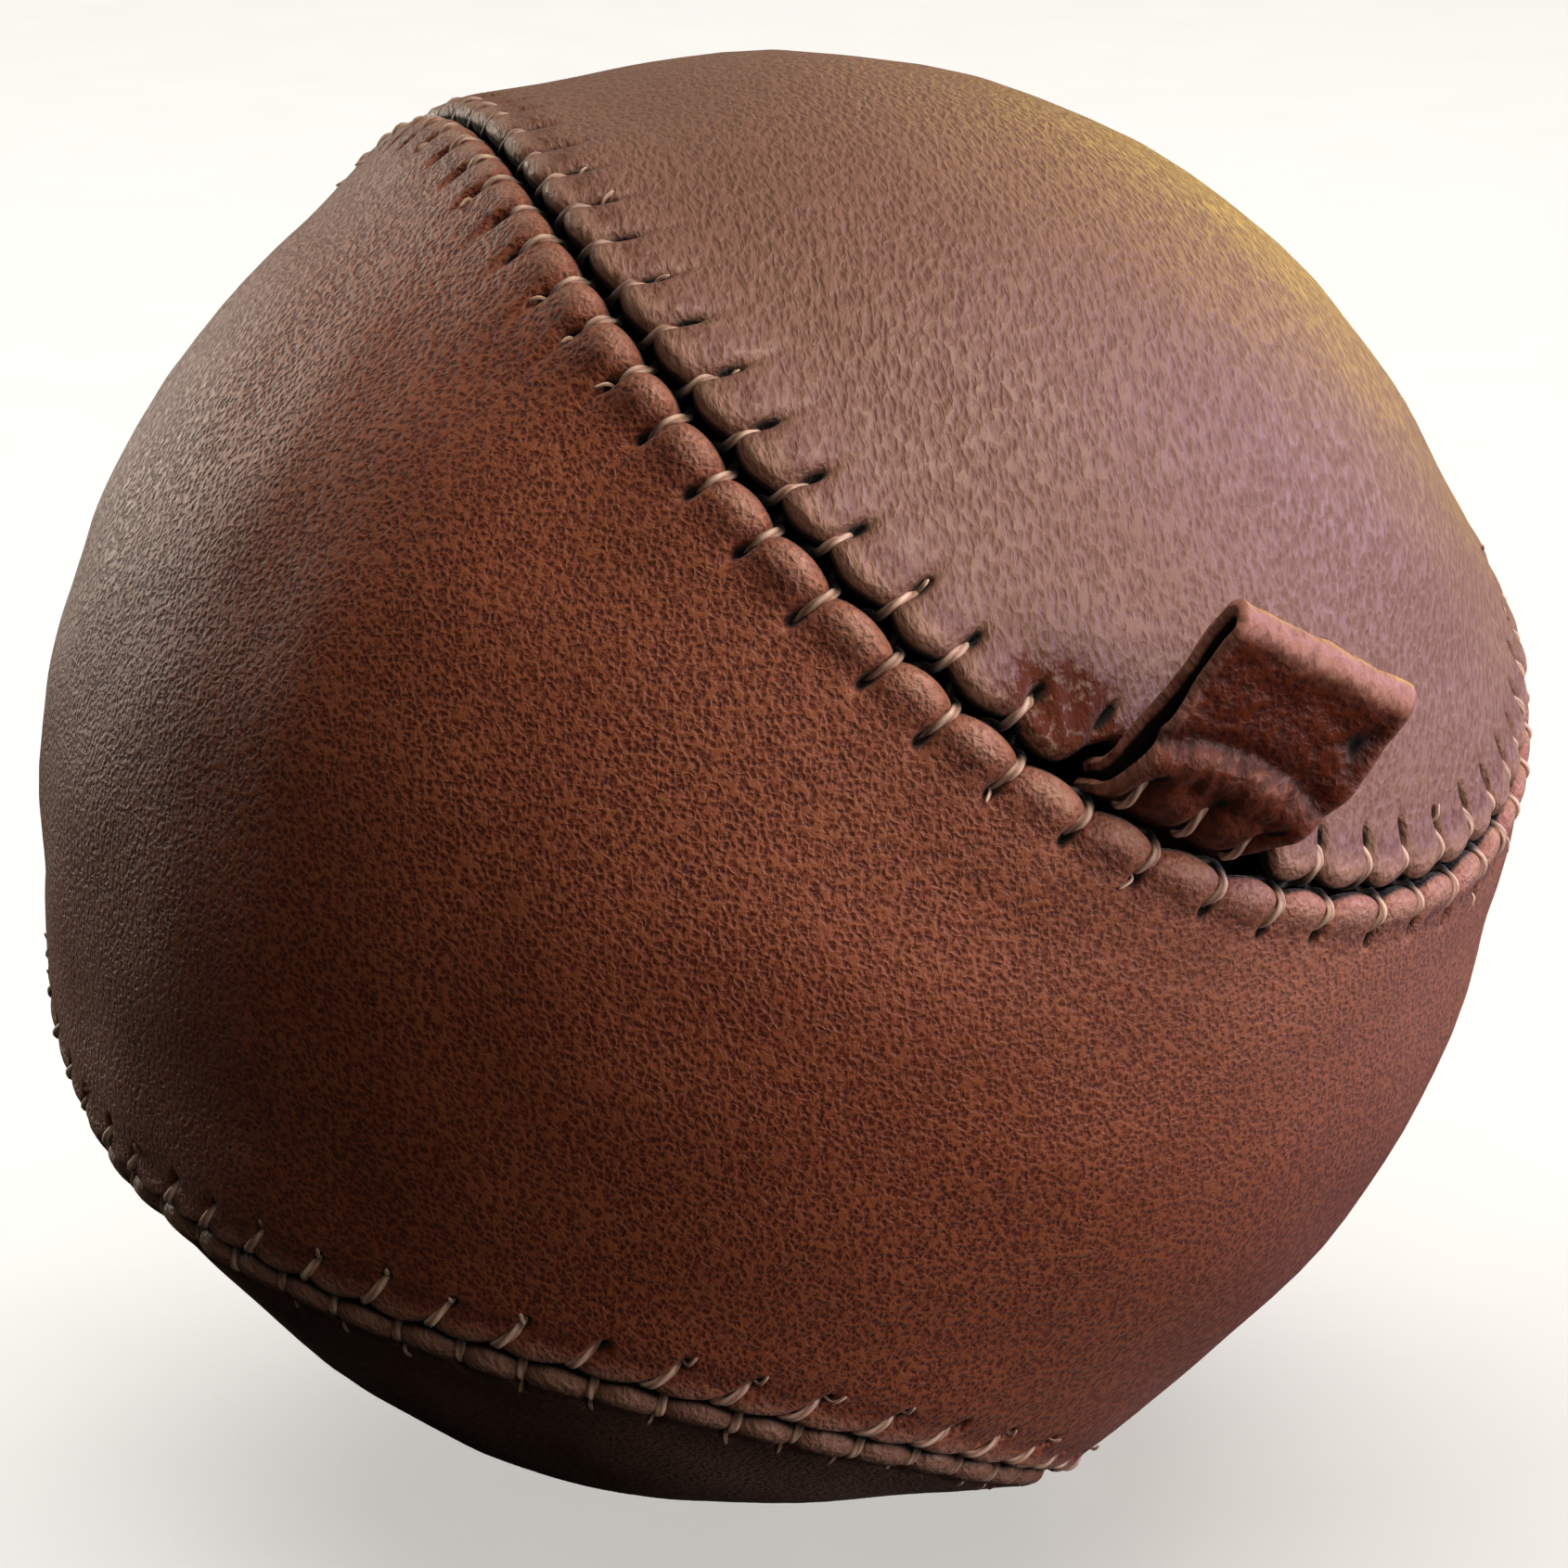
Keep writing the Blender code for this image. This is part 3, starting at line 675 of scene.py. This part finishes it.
# The strap's middle line, out from the bend line and up: its front layer from the tail to the fold, and its
# back layer from the fold to the tail
STRAP_FRONT = np.array([(-3.4, -3.8), (-1.9, -2.7), (-0.7, -1.9), (0.5, -0.7), (1.5, 1.1), (2.3, 3.4),
                        (2.9, 6.2), (2.5, 9.2), (1.9, 12.5), (1.6, 15.6)]) * MM
STRAP_BACK = np.array([(-1.6, 15.6), (-1.5, 12.0), (-1.6, 8.0), (-1.6, 4.0), (-1.7, 1.2), (-2.1, -0.3),
                       (-2.9, -1.1), (-4.3, -2.1)]) * MM
STRAP_FOLD = 1.62 * MM
# across the strap, from its right edge at -1 to its left edge at 1
FOOT_STITCHES = np.array([0.72, 0.05, -0.80])
FOOT_FOLDS = np.array([-0.9, -0.62, -0.38, -0.1, 0.12, 0.36, 0.62])
FOOT_NARROWING = 0.44  # share of the half width gathered in at the foot's right side
WAIST = 0.03  # share of the half width drawn in half way up
ARCH_HEIGHT = 8.2 * MM  # the curved crease over the foot, at the strap's middle
ARCH_DROP = 2.2 * MM  # and how much lower it is at the strap's edges
DENT_ACROSS = -0.78
DENT_UP = 14.3 * MM


def to_world(places):
    """Places in the loop's frame, in the row frame."""
    return places @ LOOP_FRAME[:3, :3].T + LOOP_FRAME[:3, 3]


def gathered(up):
    """Share of the half width gathered in at the strap's right side, at this height over the bend line."""
    return FOOT_NARROWING * ease((11 * MM - up) / (13 * MM))


def strap_path():
    """The strap's middle line from its front tail over the fold to its back tail."""
    angles = np.linspace(math.radians(8), math.radians(172), 8)
    fold = np.stack([STRAP_FOLD * np.cos(angles), LOOP_HEIGHT + STRAP_FOLD * np.sin(angles)], axis=1)
    return smooth_path(np.vstack([STRAP_FRONT, fold, STRAP_BACK]), STRAP_STEP)


def edge_dent(across, up):
    """The dent in the front layer beside its right edge, which the strap's hole mark darkens as painted
    shade.
    """
    return bell(across - DENT_ACROSS - 0.05 * np.sin(up / MM), 0.10) * bell(up - DENT_UP, 2.2 * MM)


def strap_bumps(run, fold_run, across, up):
    """Pillows, wrinkles and the crease of the front layer. up is the height over the bend line."""
    front = ease((fold_run - run) / (2 * MM))
    gaps = np.abs(across[..., None] - FOOT_STITCHES).min(axis=-1)
    foot = bell(up - 1.2 * MM, 2.5 * MM)
    bumps = front * foot * (1.6 * MM * (1 - bell(gaps, 0.12)) - 0.8 * MM)
    fold_rise = ease((up - 2.5 * MM) / (1.5 * MM)) * bell(up - 4.5 * MM, 3.6 * MM)
    for number, start in enumerate(FOOT_FOLDS):
        fan = across - start - (up - 3 * MM) / (LOOP_WIDTH / 2) * (0.42 + 0.2 * math.sin(5.0 * number))
        depth = (0.24 + 0.1 * math.sin(3.0 * number)) * MM
        bumps -= front * depth * bell(fan, 0.06) * fold_rise
    arch = up - (ARCH_HEIGHT - ARCH_DROP * across ** 2)
    swollen = 0.8 * MM * bell(arch + 1.8 * MM, 1.9 * MM)
    creased = 0.65 * MM * bell(arch - 0.9 * MM, 1.1 * MM)
    bumps += front * (swollen - creased)
    bumps -= front * 0.7 * MM * edge_dent(across, up)
    points = np.stack([run * np.ones_like(across), across * LOOP_WIDTH / 2, 0 * across], axis=-1)
    return bumps + 0.16 * MM * waves(points, 6.5 * MM, 21) + 0.08 * MM * waves(points, 2.8 * MM, 22)


def build_loop(finish):
    """The folded strap: a flat tube with cut edges, wrinkled and drawn in over its stitches."""
    path = strap_path()
    run = run_along(path)
    fold_run = run[np.argmax(path[:, 1])]
    along = unit(np.gradient(path, axis=0))
    out = np.stack([along[:, 1], -along[:, 0]], axis=1)
    across = np.concatenate([np.linspace(-1, 1, STRAP_COLUMNS), np.linspace(1, -1, STRAP_COLUMNS)])
    face_sign = np.concatenate([np.ones(STRAP_COLUMNS), -np.ones(STRAP_COLUMNS)])
    edge = 1 - np.abs(across)
    half_thick = np.sqrt(np.clip(1 - (1 - np.clip(edge / 0.055, 0, 1)) ** 2.6, 0.0, 1))
    half_thick = np.where(half_thick < 0.02, 0.02, half_thick)
    up = path[:, 1][:, None]
    is_back = ease((run - fold_run) / (2 * MM))[:, None]
    foot_thin = 0.78 + 0.22 * ease(up / (6 * MM))
    waist = bell(up - 10 * MM, 6 * MM)
    right = LOOP_WIDTH / 2 * (1 - gathered(up) - WAIST * waist)
    left = LOOP_WIDTH / 2 * (1 - WAIST * waist)
    width = np.where(across[None] < 0, right, left)
    bumps = strap_bumps(run[:, None], fold_run, across[None] + 0 * up, up + 0 * across[None])
    flare = 0.55 * MM * waist * ease((-across[None] - 0.6) / 0.4) * (1 - 2 * is_back)
    lift = face_sign[None] * half_thick[None] * STRAP_THICK / 2 * foot_thin
    lift = lift + bumps * (0.3 + 0.7 * half_thick[None]) + flare
    places = np.zeros((len(path), len(across), 3))
    places[..., :2] = path[:, None] + out[:, None] * lift[..., None]
    places[..., 2] = across[None] * width
    numbers = np.arange(places.shape[0] * places.shape[1]).reshape(places.shape[:2])
    faces = [face[::-1] for face in tube_faces(numbers)]
    cut = np.broadcast_to(bell(edge, 0.06), numbers.shape)
    # painted highlight on the raised bumps and along the fold band
    crease = 0.15 * np.clip(bumps / (0.6 * MM), 0, 1)
    crease = crease + 2.0 * bell(run - fold_run + 0.3 * MM, 1.5 * MM)[:, None]
    gaps = np.abs(across[..., None] - FOOT_STITCHES).min(axis=-1)[None]
    outside = (1 - is_back) * (face_sign[None] > 0)
    # the hole mark is painted shade: black in the foot's stitch holes, in the dent beside the right edge
    # and on the strap's inner faces
    hole = bell(gaps, 0.05) * bell(up - 3.6 * MM, 0.9 * MM) * outside
    hole = hole + 0.55 * edge_dent(across[None], up) * outside
    tunnel_shade = np.where(face_sign[None] < 0, 1.0, 0.0) * (1 - bell(edge, 0.08))
    grain = np.zeros(places.shape)
    grain[..., 0] = run[:, None]
    grain[..., 1] = across[None] * width
    grain[..., 2] = face_sign[None] * 4 * MM
    marks = {"crest": np.clip(crease, 0, 1.5).ravel() + cut.ravel(),
             "hole": np.clip(hole + tunnel_shade, 0, 1).ravel(),
             "trough": np.clip(-bumps / (0.5 * MM), 0, 1).ravel(),
             "grain": grain.reshape(-1, 3) / MM}
    strap = mesh_object("strap", to_world(places.reshape(-1, 3)), faces, marks)
    strap.data.materials.append(finish)
    return strap


def build_foot_stitches(finish):
    """The short stitches that hold the strap's foot to the lip."""
    tubes = []
    for stitch in FOOT_STITCHES:
        along = stitch * LOOP_WIDTH / 2 * (1 - gathered(1.0 * MM) * (stitch < 0))
        route = np.array([(-0.4, -2.6, 0.0), (0.9, -1.9, 0.0), (1.5, -0.9, 0.0), (1.9, 0.4, 0.2),
                          (1.9, 1.8, 0.4), (1.2, 2.8, 0.4)]) * MM
        route[:, 2] += along
        path = to_world(smooth_path(route, THREAD_STEP))
        across = np.tile(LOOP_FRAME[:3, 2], (len(path), 1))
        places, faces, marks = sweep(path, across, THREAD_RADIUS, THREAD_RADIUS * THREAD_FLAT)
        marks["hole"] = np.zeros(len(places))
        tubes.append((places, faces, marks))
    return joined("strap_stitches", tubes, finish)


# ---- Materials ----

def srgb(red, green, blue):
    """A colour given as it looks on screen, 0 to 255, in linear light."""
    values = np.array([red, green, blue]) / 255
    linear = np.where(values <= 0.04045, values / 12.92, ((values + 0.055) / 1.055) ** 2.4)
    return (*linear.tolist(), 1.0)


# nearly black painted shade, for the holes, the gap's depths, the thread's hidden runs and the strap's
# inside
PAINTED_SHADE_COLOUR = srgb(8, 3, 2)
CANVAS_PITCH = 1.2 * MM
GAP_SHADE_FROM_TO = (0.060, 0.067)  # distances from the ball's centre over which the cotton turns nearly black: painted shade where it shows in the seam's gap


class Nodes:
    """A material's node tree, with one short call for each kind of node."""

    def __init__(self, name, roughness=0.6):
        self.material = bpy.data.materials.new(name)
        self.material.use_nodes = True
        self.tree = self.material.node_tree
        self.shader = self.tree.nodes["Principled BSDF"]
        self.shader.inputs["Roughness"].default_value = roughness

    def node(self, kind, inputs=None, **settings):
        made = self.tree.nodes.new(kind)
        for key, value in settings.items():
            setattr(made, key, value)
        for key, value in (inputs or {}).items():
            if isinstance(value, bpy.types.NodeSocket):
                self.tree.links.new(value, made.inputs[key])
            else:
                made.inputs[key].default_value = value
        return made

    def mark(self, name, socket="Fac"):
        return self.node("ShaderNodeAttribute", attribute_name=name).outputs[socket]

    def noise(self, place, scale, detail=3.0, roughness=0.55, distortion=0.0):
        inputs = {"Vector": place, "Scale": scale, "Detail": detail, "Roughness": roughness,
                  "Distortion": distortion}
        return self.node("ShaderNodeTexNoise", inputs).outputs[0]

    def stretched(self, place, scale):
        return self.node("ShaderNodeMapping", {"Vector": place, "Scale": scale}).outputs[0]

    def math(self, kind, first, second=0.0):
        return self.node("ShaderNodeMath", {0: first, 1: second}, operation=kind).outputs[0]

    def remap(self, value, low, high, new_low=0.0, new_high=1.0):
        return self.node("ShaderNodeMapRange", {"Value": value, "From Min": low, "From Max": high,
                                                "To Min": new_low, "To Max": new_high}).outputs[0]

    def mix(self, factor, first, second):
        made = self.node("ShaderNodeMix", data_type="RGBA")
        for key, value in ((0, factor), (6, first), (7, second)):
            if isinstance(value, bpy.types.NodeSocket):
                self.tree.links.new(value, made.inputs[key])
            else:
                made.inputs[key].default_value = value
        return made.outputs[2]

    def ramp(self, value, stops):
        made = self.node("ShaderNodeValToRGB", {"Fac": value})
        elements = made.color_ramp.elements
        while len(elements) < len(stops):
            elements.new(0.5)
        for element, (place, colour) in zip(elements, stops):
            element.position = place
            element.color = colour
        return made.outputs[0]

    def finish(self, colour, bump=None, strength=1.0, distance=0.0003, roughness=None, **plain):
        self.tree.links.new(colour, self.shader.inputs["Base Color"])
        if bump is not None:
            inputs = {"Height": bump, "Strength": strength, "Distance": distance}
            normal = self.node("ShaderNodeBump", inputs).outputs[0]
            self.tree.links.new(normal, self.shader.inputs["Normal"])
        if roughness is not None:
            self.tree.links.new(roughness, self.shader.inputs["Roughness"])
        for key, value in plain.items():
            self.shader.inputs[key.replace("_", " ")].default_value = value
        return self.material


def leather(name, deep, middle, light, worn_and_highlight, grime, cell, stretch, contrast, bump, gloss, bloom):
    """Grained leather. cell is its grain's size in millimetres, and stretch how far that is drawn out."""
    nodes = Nodes(name)
    place = nodes.mark("grain", "Vector")
    drawn = nodes.stretched(place, (1.0, 1.0, 1.0 / stretch))
    wander = nodes.node("ShaderNodeTexNoise", {"Vector": drawn, "Scale": 1.1, "Detail": 2.0}).outputs[1]
    bent = nodes.node("ShaderNodeVectorMath", {0: drawn, 1: wander}, operation="ADD").outputs[0]
    cells = nodes.node("ShaderNodeTexVoronoi", {"Vector": bent, "Scale": 1.0 / cell, "Randomness": 1.0},
                       feature="F1").outputs[0]
    fine = nodes.noise(bent, 1.6 / cell, 4.0, 0.6)
    network = nodes.remap(nodes.math("ADD", cells, nodes.math("MULTIPLY", fine, 0.5)), 0.38, 0.98)
    mottle = nodes.noise(drawn, 0.9 / cell, 4.0, 0.6)
    blotches = nodes.noise(place, 0.9, 4.0, 0.65)
    patches = nodes.noise(place, 0.05, 3.0, 0.6, 0.6)
    level = nodes.math("ADD", nodes.math("MULTIPLY", network, contrast),
                       nodes.math("MULTIPLY", mottle, 1.0 - contrast))
    colour = nodes.ramp(level, ((0.12, deep), (0.5, middle), (0.92, light)))
    colour = nodes.mix(nodes.remap(patches, 0.40, 0.75, 0.0, 0.35), colour, middle)
    crest = nodes.math("MULTIPLY", nodes.mark("crest"), nodes.remap(blotches, 0.3, 0.62, 0.35, 0.95))
    crest = nodes.math("MINIMUM", crest, 0.95)
    # crests take the pale colour: real wear and painted highlight, plus panel B's painted sheen and the
    # strap's painted fold highlight
    colour = nodes.mix(crest, colour, worn_and_highlight)
    dirty = nodes.math("MULTIPLY", nodes.mark("trough"), nodes.remap(blotches, 0.38, 0.62, 0.95, 0.1))
    colour = nodes.mix(dirty, colour, grime)
    # painted shade: the hole mark turns the colour nearly black
    shaded = nodes.remap(nodes.mark("hole"), 0.1, 0.5)
    colour = nodes.mix(shaded, colour, PAINTED_SHADE_COLOUR)
    height = nodes.math("ADD", nodes.math("MULTIPLY", network, 0.9), nodes.math("MULTIPLY", fine, 0.25))
    height = nodes.math("ADD", height, nodes.math("MULTIPLY", mottle, 0.8))
    roughness = nodes.remap(nodes.math("ADD", network, mottle), 0.5, 1.6, gloss + 0.2, gloss)
    matte = nodes.math("MAXIMUM", shaded, nodes.math("MULTIPLY", dirty, 0.8))
    roughness = nodes.math("MAXIMUM", roughness, matte)
    return nodes.finish(colour, height, bump, 0.0003, roughness, Specular_IOR_Level=0.45,
                        Sheen_Weight=bloom, Sheen_Roughness=0.45, Sheen_Tint=(0.85, 0.76, 0.70, 1.0))


def thread_finish():
    """Waxed thread: pale plies with darker lines between them and grime."""
    nodes = Nodes("waxed_thread")
    brown = srgb(104, 62, 44)
    place = nodes.mark("grain", "Vector")
    strands = nodes.noise(nodes.stretched(place, (2.0, 9.0, 9.0)), 1.0)
    grime = nodes.noise(place, 0.35, 3.0)
    level = nodes.math("ADD", nodes.math("MULTIPLY", nodes.mark("ply"), 0.6),
                       nodes.math("MULTIPLY", strands, 0.5))
    colour = nodes.ramp(level, ((0.12, brown), (0.45, srgb(196, 156, 132)), (0.85, srgb(232, 206, 182))))
    colour = nodes.mix(nodes.remap(grime, 0.45, 0.75, 0.0, 0.7), colour, brown)
    # painted shade where the thread runs under the leather
    colour = nodes.mix(nodes.mark("hole"), colour, PAINTED_SHADE_COLOUR)
    roughness = nodes.remap(strands, 0.2, 0.8, 0.65, 0.5)
    return nodes.finish(colour, level, 0.6, 0.0001, roughness, Sheen_Weight=0.15)


def woven(name, dark, light, pitch):
    """Plain canvas, with its warp and weft. pitch is the spacing of its threads."""
    nodes = Nodes(name, 0.9)
    place = nodes.node("ShaderNodeTexCoord").outputs["Object"]
    scale = 0.314 / pitch  # a wave texture's bands are 0.314 apart at scale 1
    threads = [nodes.node("ShaderNodeTexWave", {"Vector": place, "Scale": scale, "Distortion": 0.6},
                          bands_direction=way).outputs[1] for way in ("X", "Y", "Z")]
    weave = nodes.math("MAXIMUM", nodes.math("MAXIMUM", threads[0], threads[1]), threads[2])
    stain = nodes.noise(place, 60.0, 4.0)
    colour = nodes.mix(nodes.math("MULTIPLY", weave, stain), dark, light)
    roughness = nodes.remap(stain, 0.2, 0.8, 0.95, 0.8)
    return nodes.finish(colour, weave, 0.7, 0.0003, roughness, Specular_IOR_Level=0.0)


def fibres(name, dark, light, gap_shade):
    """Cotton waste: teased, lumpy fibres, turning nearly black near the leather as painted shade where they
    show in the seam's gap.
    """
    nodes = Nodes(name, 0.95)
    place = nodes.node("ShaderNodeTexCoord").outputs["Object"]
    strands = nodes.noise(place, 900.0, 6.0, 0.7, 2.5)
    clumps = nodes.noise(place, 140.0, 4.0, 0.6, 1.0)
    colour = nodes.mix(nodes.math("MULTIPLY", strands, clumps), dark, light)
    out = nodes.node("ShaderNodeVectorMath", {0: place, 1: CENTRE.tolist()}, operation="DISTANCE")
    colour = nodes.mix(nodes.remap(out.outputs["Value"], *GAP_SHADE_FROM_TO), colour, gap_shade)
    return nodes.finish(colour, nodes.math("ADD", strands, clumps), 0.9, 0.0008,
                        nodes.remap(strands, 0.2, 0.8, 0.85, 1.0), Specular_IOR_Level=0.0)


def grains(name, dark, light):
    """Sand: separate grains of several browns."""
    nodes = Nodes(name, 0.95)
    place = nodes.node("ShaderNodeTexCoord").outputs["Object"]
    cells = nodes.node("ShaderNodeTexVoronoi", {"Vector": place, "Scale": 1600.0})
    shuffled = nodes.math("FRACT", nodes.math("MULTIPLY", cells.outputs["Color"], 7.0))
    colour = nodes.mix(shuffled, dark, light)
    return nodes.finish(colour, cells.outputs["Distance"], 0.8, 0.0004,
                        nodes.remap(cells.outputs["Distance"], 0.0, 0.8, 0.7, 1.0))


FINISHES = {
    "panel_b": leather("leather_pebbled", srgb(76, 22, 6), srgb(129, 57, 28), srgb(170, 98, 62),
                       srgb(186, 138, 116), srgb(72, 22, 9), 0.62, 1.0, 0.7, 0.62, 0.42, 0.2),
    "panel_a": leather("leather_rippled", srgb(106, 68, 50), srgb(128, 90, 70), srgb(146, 108, 88),
                       srgb(174, 132, 112), srgb(94, 40, 16), 0.66, 2.6, 0.5, 0.65, 0.42, 0.1),
    "strap": leather("leather_smooth", srgb(40, 10, 3), srgb(88, 32, 14), srgb(134, 62, 30),
                     srgb(174, 120, 102), srgb(42, 13, 5), 0.9, 1.0, 0.35, 0.5, 0.42, 0.05),
    "thread": thread_finish(),
    # the lining is nearly black: painted shade where it shows in the seam's gap
    "lining": woven("canvas_shade_painted", srgb(4, 2, 1), srgb(13, 7, 4), CANVAS_PITCH),
    "canvas": woven("canvas_plain", srgb(120, 104, 80), srgb(196, 182, 150), CANVAS_PITCH),
    "cotton": fibres("cotton_teased", srgb(128, 118, 104), srgb(216, 210, 198), srgb(14, 6, 3)),
    "sand": grains("sand_grains", srgb(120, 92, 62), srgb(206, 178, 136)),
}


def dress_hidden_nodes():
    """Give the carried-over CAD nodes their finishes."""
    for name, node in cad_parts.items():
        for start, finish in (("lining", "lining"), ("core_bag_s", "thread"), ("core_bag", "canvas"),
                              ("stuffing", "cotton"), ("sand", "sand")):
            if name.startswith(start):
                node.data.materials.clear()
                node.data.materials.append(FINISHES[finish])
                break


# ---- The room ----

ELEVATION = math.radians(15)
CAMERA_AWAY = 8.3333 * BODY_RADIUS
CAMERA_RIGHT = 1.35 * MM
CAMERA_DOWN = 0.9 * MM
VIEW_ANGLE = math.radians(14.6)
FLOOR_SIZE = 30.0
NEARLY_WHITE = (1.0, 0.995, 0.985)
FILL_POWER = 2.7
BALL_LAMPS = (  # name, place, size, power, colour
    ("key", (0.55, -0.20, 1.05), 0.45, 9.4, (1.0, 0.91, 0.80)),
    ("gold", (0.45, 0.95, 0.32), 0.5, 2.6, (1.0, 0.78, 0.06)),
    ("violet", (0.90, 0.42, 0.46), 0.45, 5.8, (0.50, 0.48, 1.0)),
    ("low", (1.00, -0.45, 0.16), 0.6, 8.6, (1.0, 0.86, 0.88)),
    ("rim", (-0.82, 0.92, 0.30), 0.5, 6.6, (1.0, 0.90, 0.76)),
    ("front", (0.30, -1.0, 0.50), 0.6, 1.9, (1.0, 0.82, 0.70)))
FLOOR_LAMPS = (("ground", (0.0, 0.3, 1.6), 2.4, 34.0, NEARLY_WHITE),)


def build_floor():
    """The pale floor."""
    bpy.ops.mesh.primitive_plane_add(size=FLOOR_SIZE)
    floor = bpy.context.object
    floor.name = "floor"
    nodes = Nodes("pale_floor", 0.7)
    place = nodes.node("ShaderNodeTexCoord").outputs["Object"]
    colour = nodes.mix(nodes.noise(place, 30.0), srgb(206, 204, 200), srgb(212, 210, 206))
    floor.data.materials.append(nodes.finish(colour))
    floor.visible_diffuse = False  # its bounce is left out, so the underside stays deep
    floor.visible_glossy = False
    return floor


def add_lamp(lamp, lit):
    """A lamp's object, which lights only this collection."""
    made = bpy.data.objects.new(lamp.name, lamp)
    made.light_linking.receiver_collection = lit
    bpy.context.scene.collection.objects.link(made)
    return made


def build_lights(floor):
    """Soft lamps for the ball, and others for the floor."""
    floor_only, ball_only = (bpy.data.collections.new(name) for name in ("floor_only", "ball_only"))
    for lit, state in ((floor_only, "INCLUDE"), (ball_only, "EXCLUDE")):
        lit.objects.link(floor)
        lit.collection_objects[0].light_linking.link_state = state
    for lamps, lit in ((BALL_LAMPS, ball_only), (FLOOR_LAMPS, floor_only)):
        for name, place, size, power, colour in lamps:
            lamp = bpy.data.lights.new(name, "AREA")
            lamp.energy = power
            lamp.size = size
            lamp.color = colour
            made = add_lamp(lamp, lit)
            made.location = place
            made.rotation_euler = (Vector(CENTRE) - Vector(place)).to_track_quat("-Z", "Y").to_euler()
    # even light without shadow, so that the far floor is pale too
    fill = bpy.data.lights.new("fill", "SUN")
    fill.energy = FILL_POWER
    fill.color = NEARLY_WHITE
    fill.use_shadow = False
    add_lamp(fill, floor_only)


def build_sky():
    """A faint sky that brightens upwards."""
    world = bpy.data.worlds.new("studio")
    world.use_nodes = True
    sky = world.node_tree.nodes
    links = world.node_tree.links
    split = sky.new("ShaderNodeSeparateXYZ")
    links.new(sky.new("ShaderNodeTexCoord").outputs["Generated"], split.inputs[0])
    level = sky.new("ShaderNodeMapRange")
    level.inputs["From Min"].default_value = -0.1
    level.inputs["From Max"].default_value = 0.6
    level.inputs["To Max"].default_value = 0.11
    links.new(split.outputs["Z"], level.inputs["Value"])
    links.new(level.outputs[0], sky["Background"].inputs["Strength"])
    sky["Background"].inputs["Color"].default_value = (0.86, 0.80, 0.76, 1.0)
    bpy.context.scene.world = world
    bpy.context.scene.view_settings.view_transform = "Standard"


def build_camera():
    """The camera at the photograph's viewing angle."""
    upward = Vector((0.0, math.sin(ELEVATION), math.cos(ELEVATION)))
    forward = Vector((0.0, math.cos(ELEVATION), -math.sin(ELEVATION)))
    lens = bpy.data.cameras.new("camera")
    lens.angle = VIEW_ANGLE
    lens.clip_start = 0.01
    camera = bpy.data.objects.new("camera", lens)
    aim = Vector(CENTRE) + Vector((CAMERA_RIGHT, 0, 0)) - upward * CAMERA_DOWN
    camera.location = aim - forward * CAMERA_AWAY
    camera.rotation_euler = (math.pi / 2 - ELEVATION, 0.0, 0.0)
    bpy.context.scene.collection.objects.link(camera)
    bpy.context.scene.camera = camera


def main():
    """The whole ball in its room, each piece riding on its body."""
    build_lights(build_floor())
    build_sky()
    build_camera()
    dress_hidden_nodes()
    for letter, side in PANELS.items():
        panel = build_panel(letter, side, FINISHES[f"panel_{letter}"])
        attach(panel, "ball")
        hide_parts(f"cover_panel_{letter}")
    for length in range(1, 5):
        thread = build_thread(length, FINISHES["thread"])
        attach(thread, "ball")
        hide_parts(f"seam_thread_{length}")
    strap = build_loop(FINISHES["strap"])
    stitches = build_foot_stitches(FINISHES["thread"])
    for piece in (strap, stitches):
        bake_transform(piece)
    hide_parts("hanging_loop", "loop_tail_front", "loop_tail_back")


main()
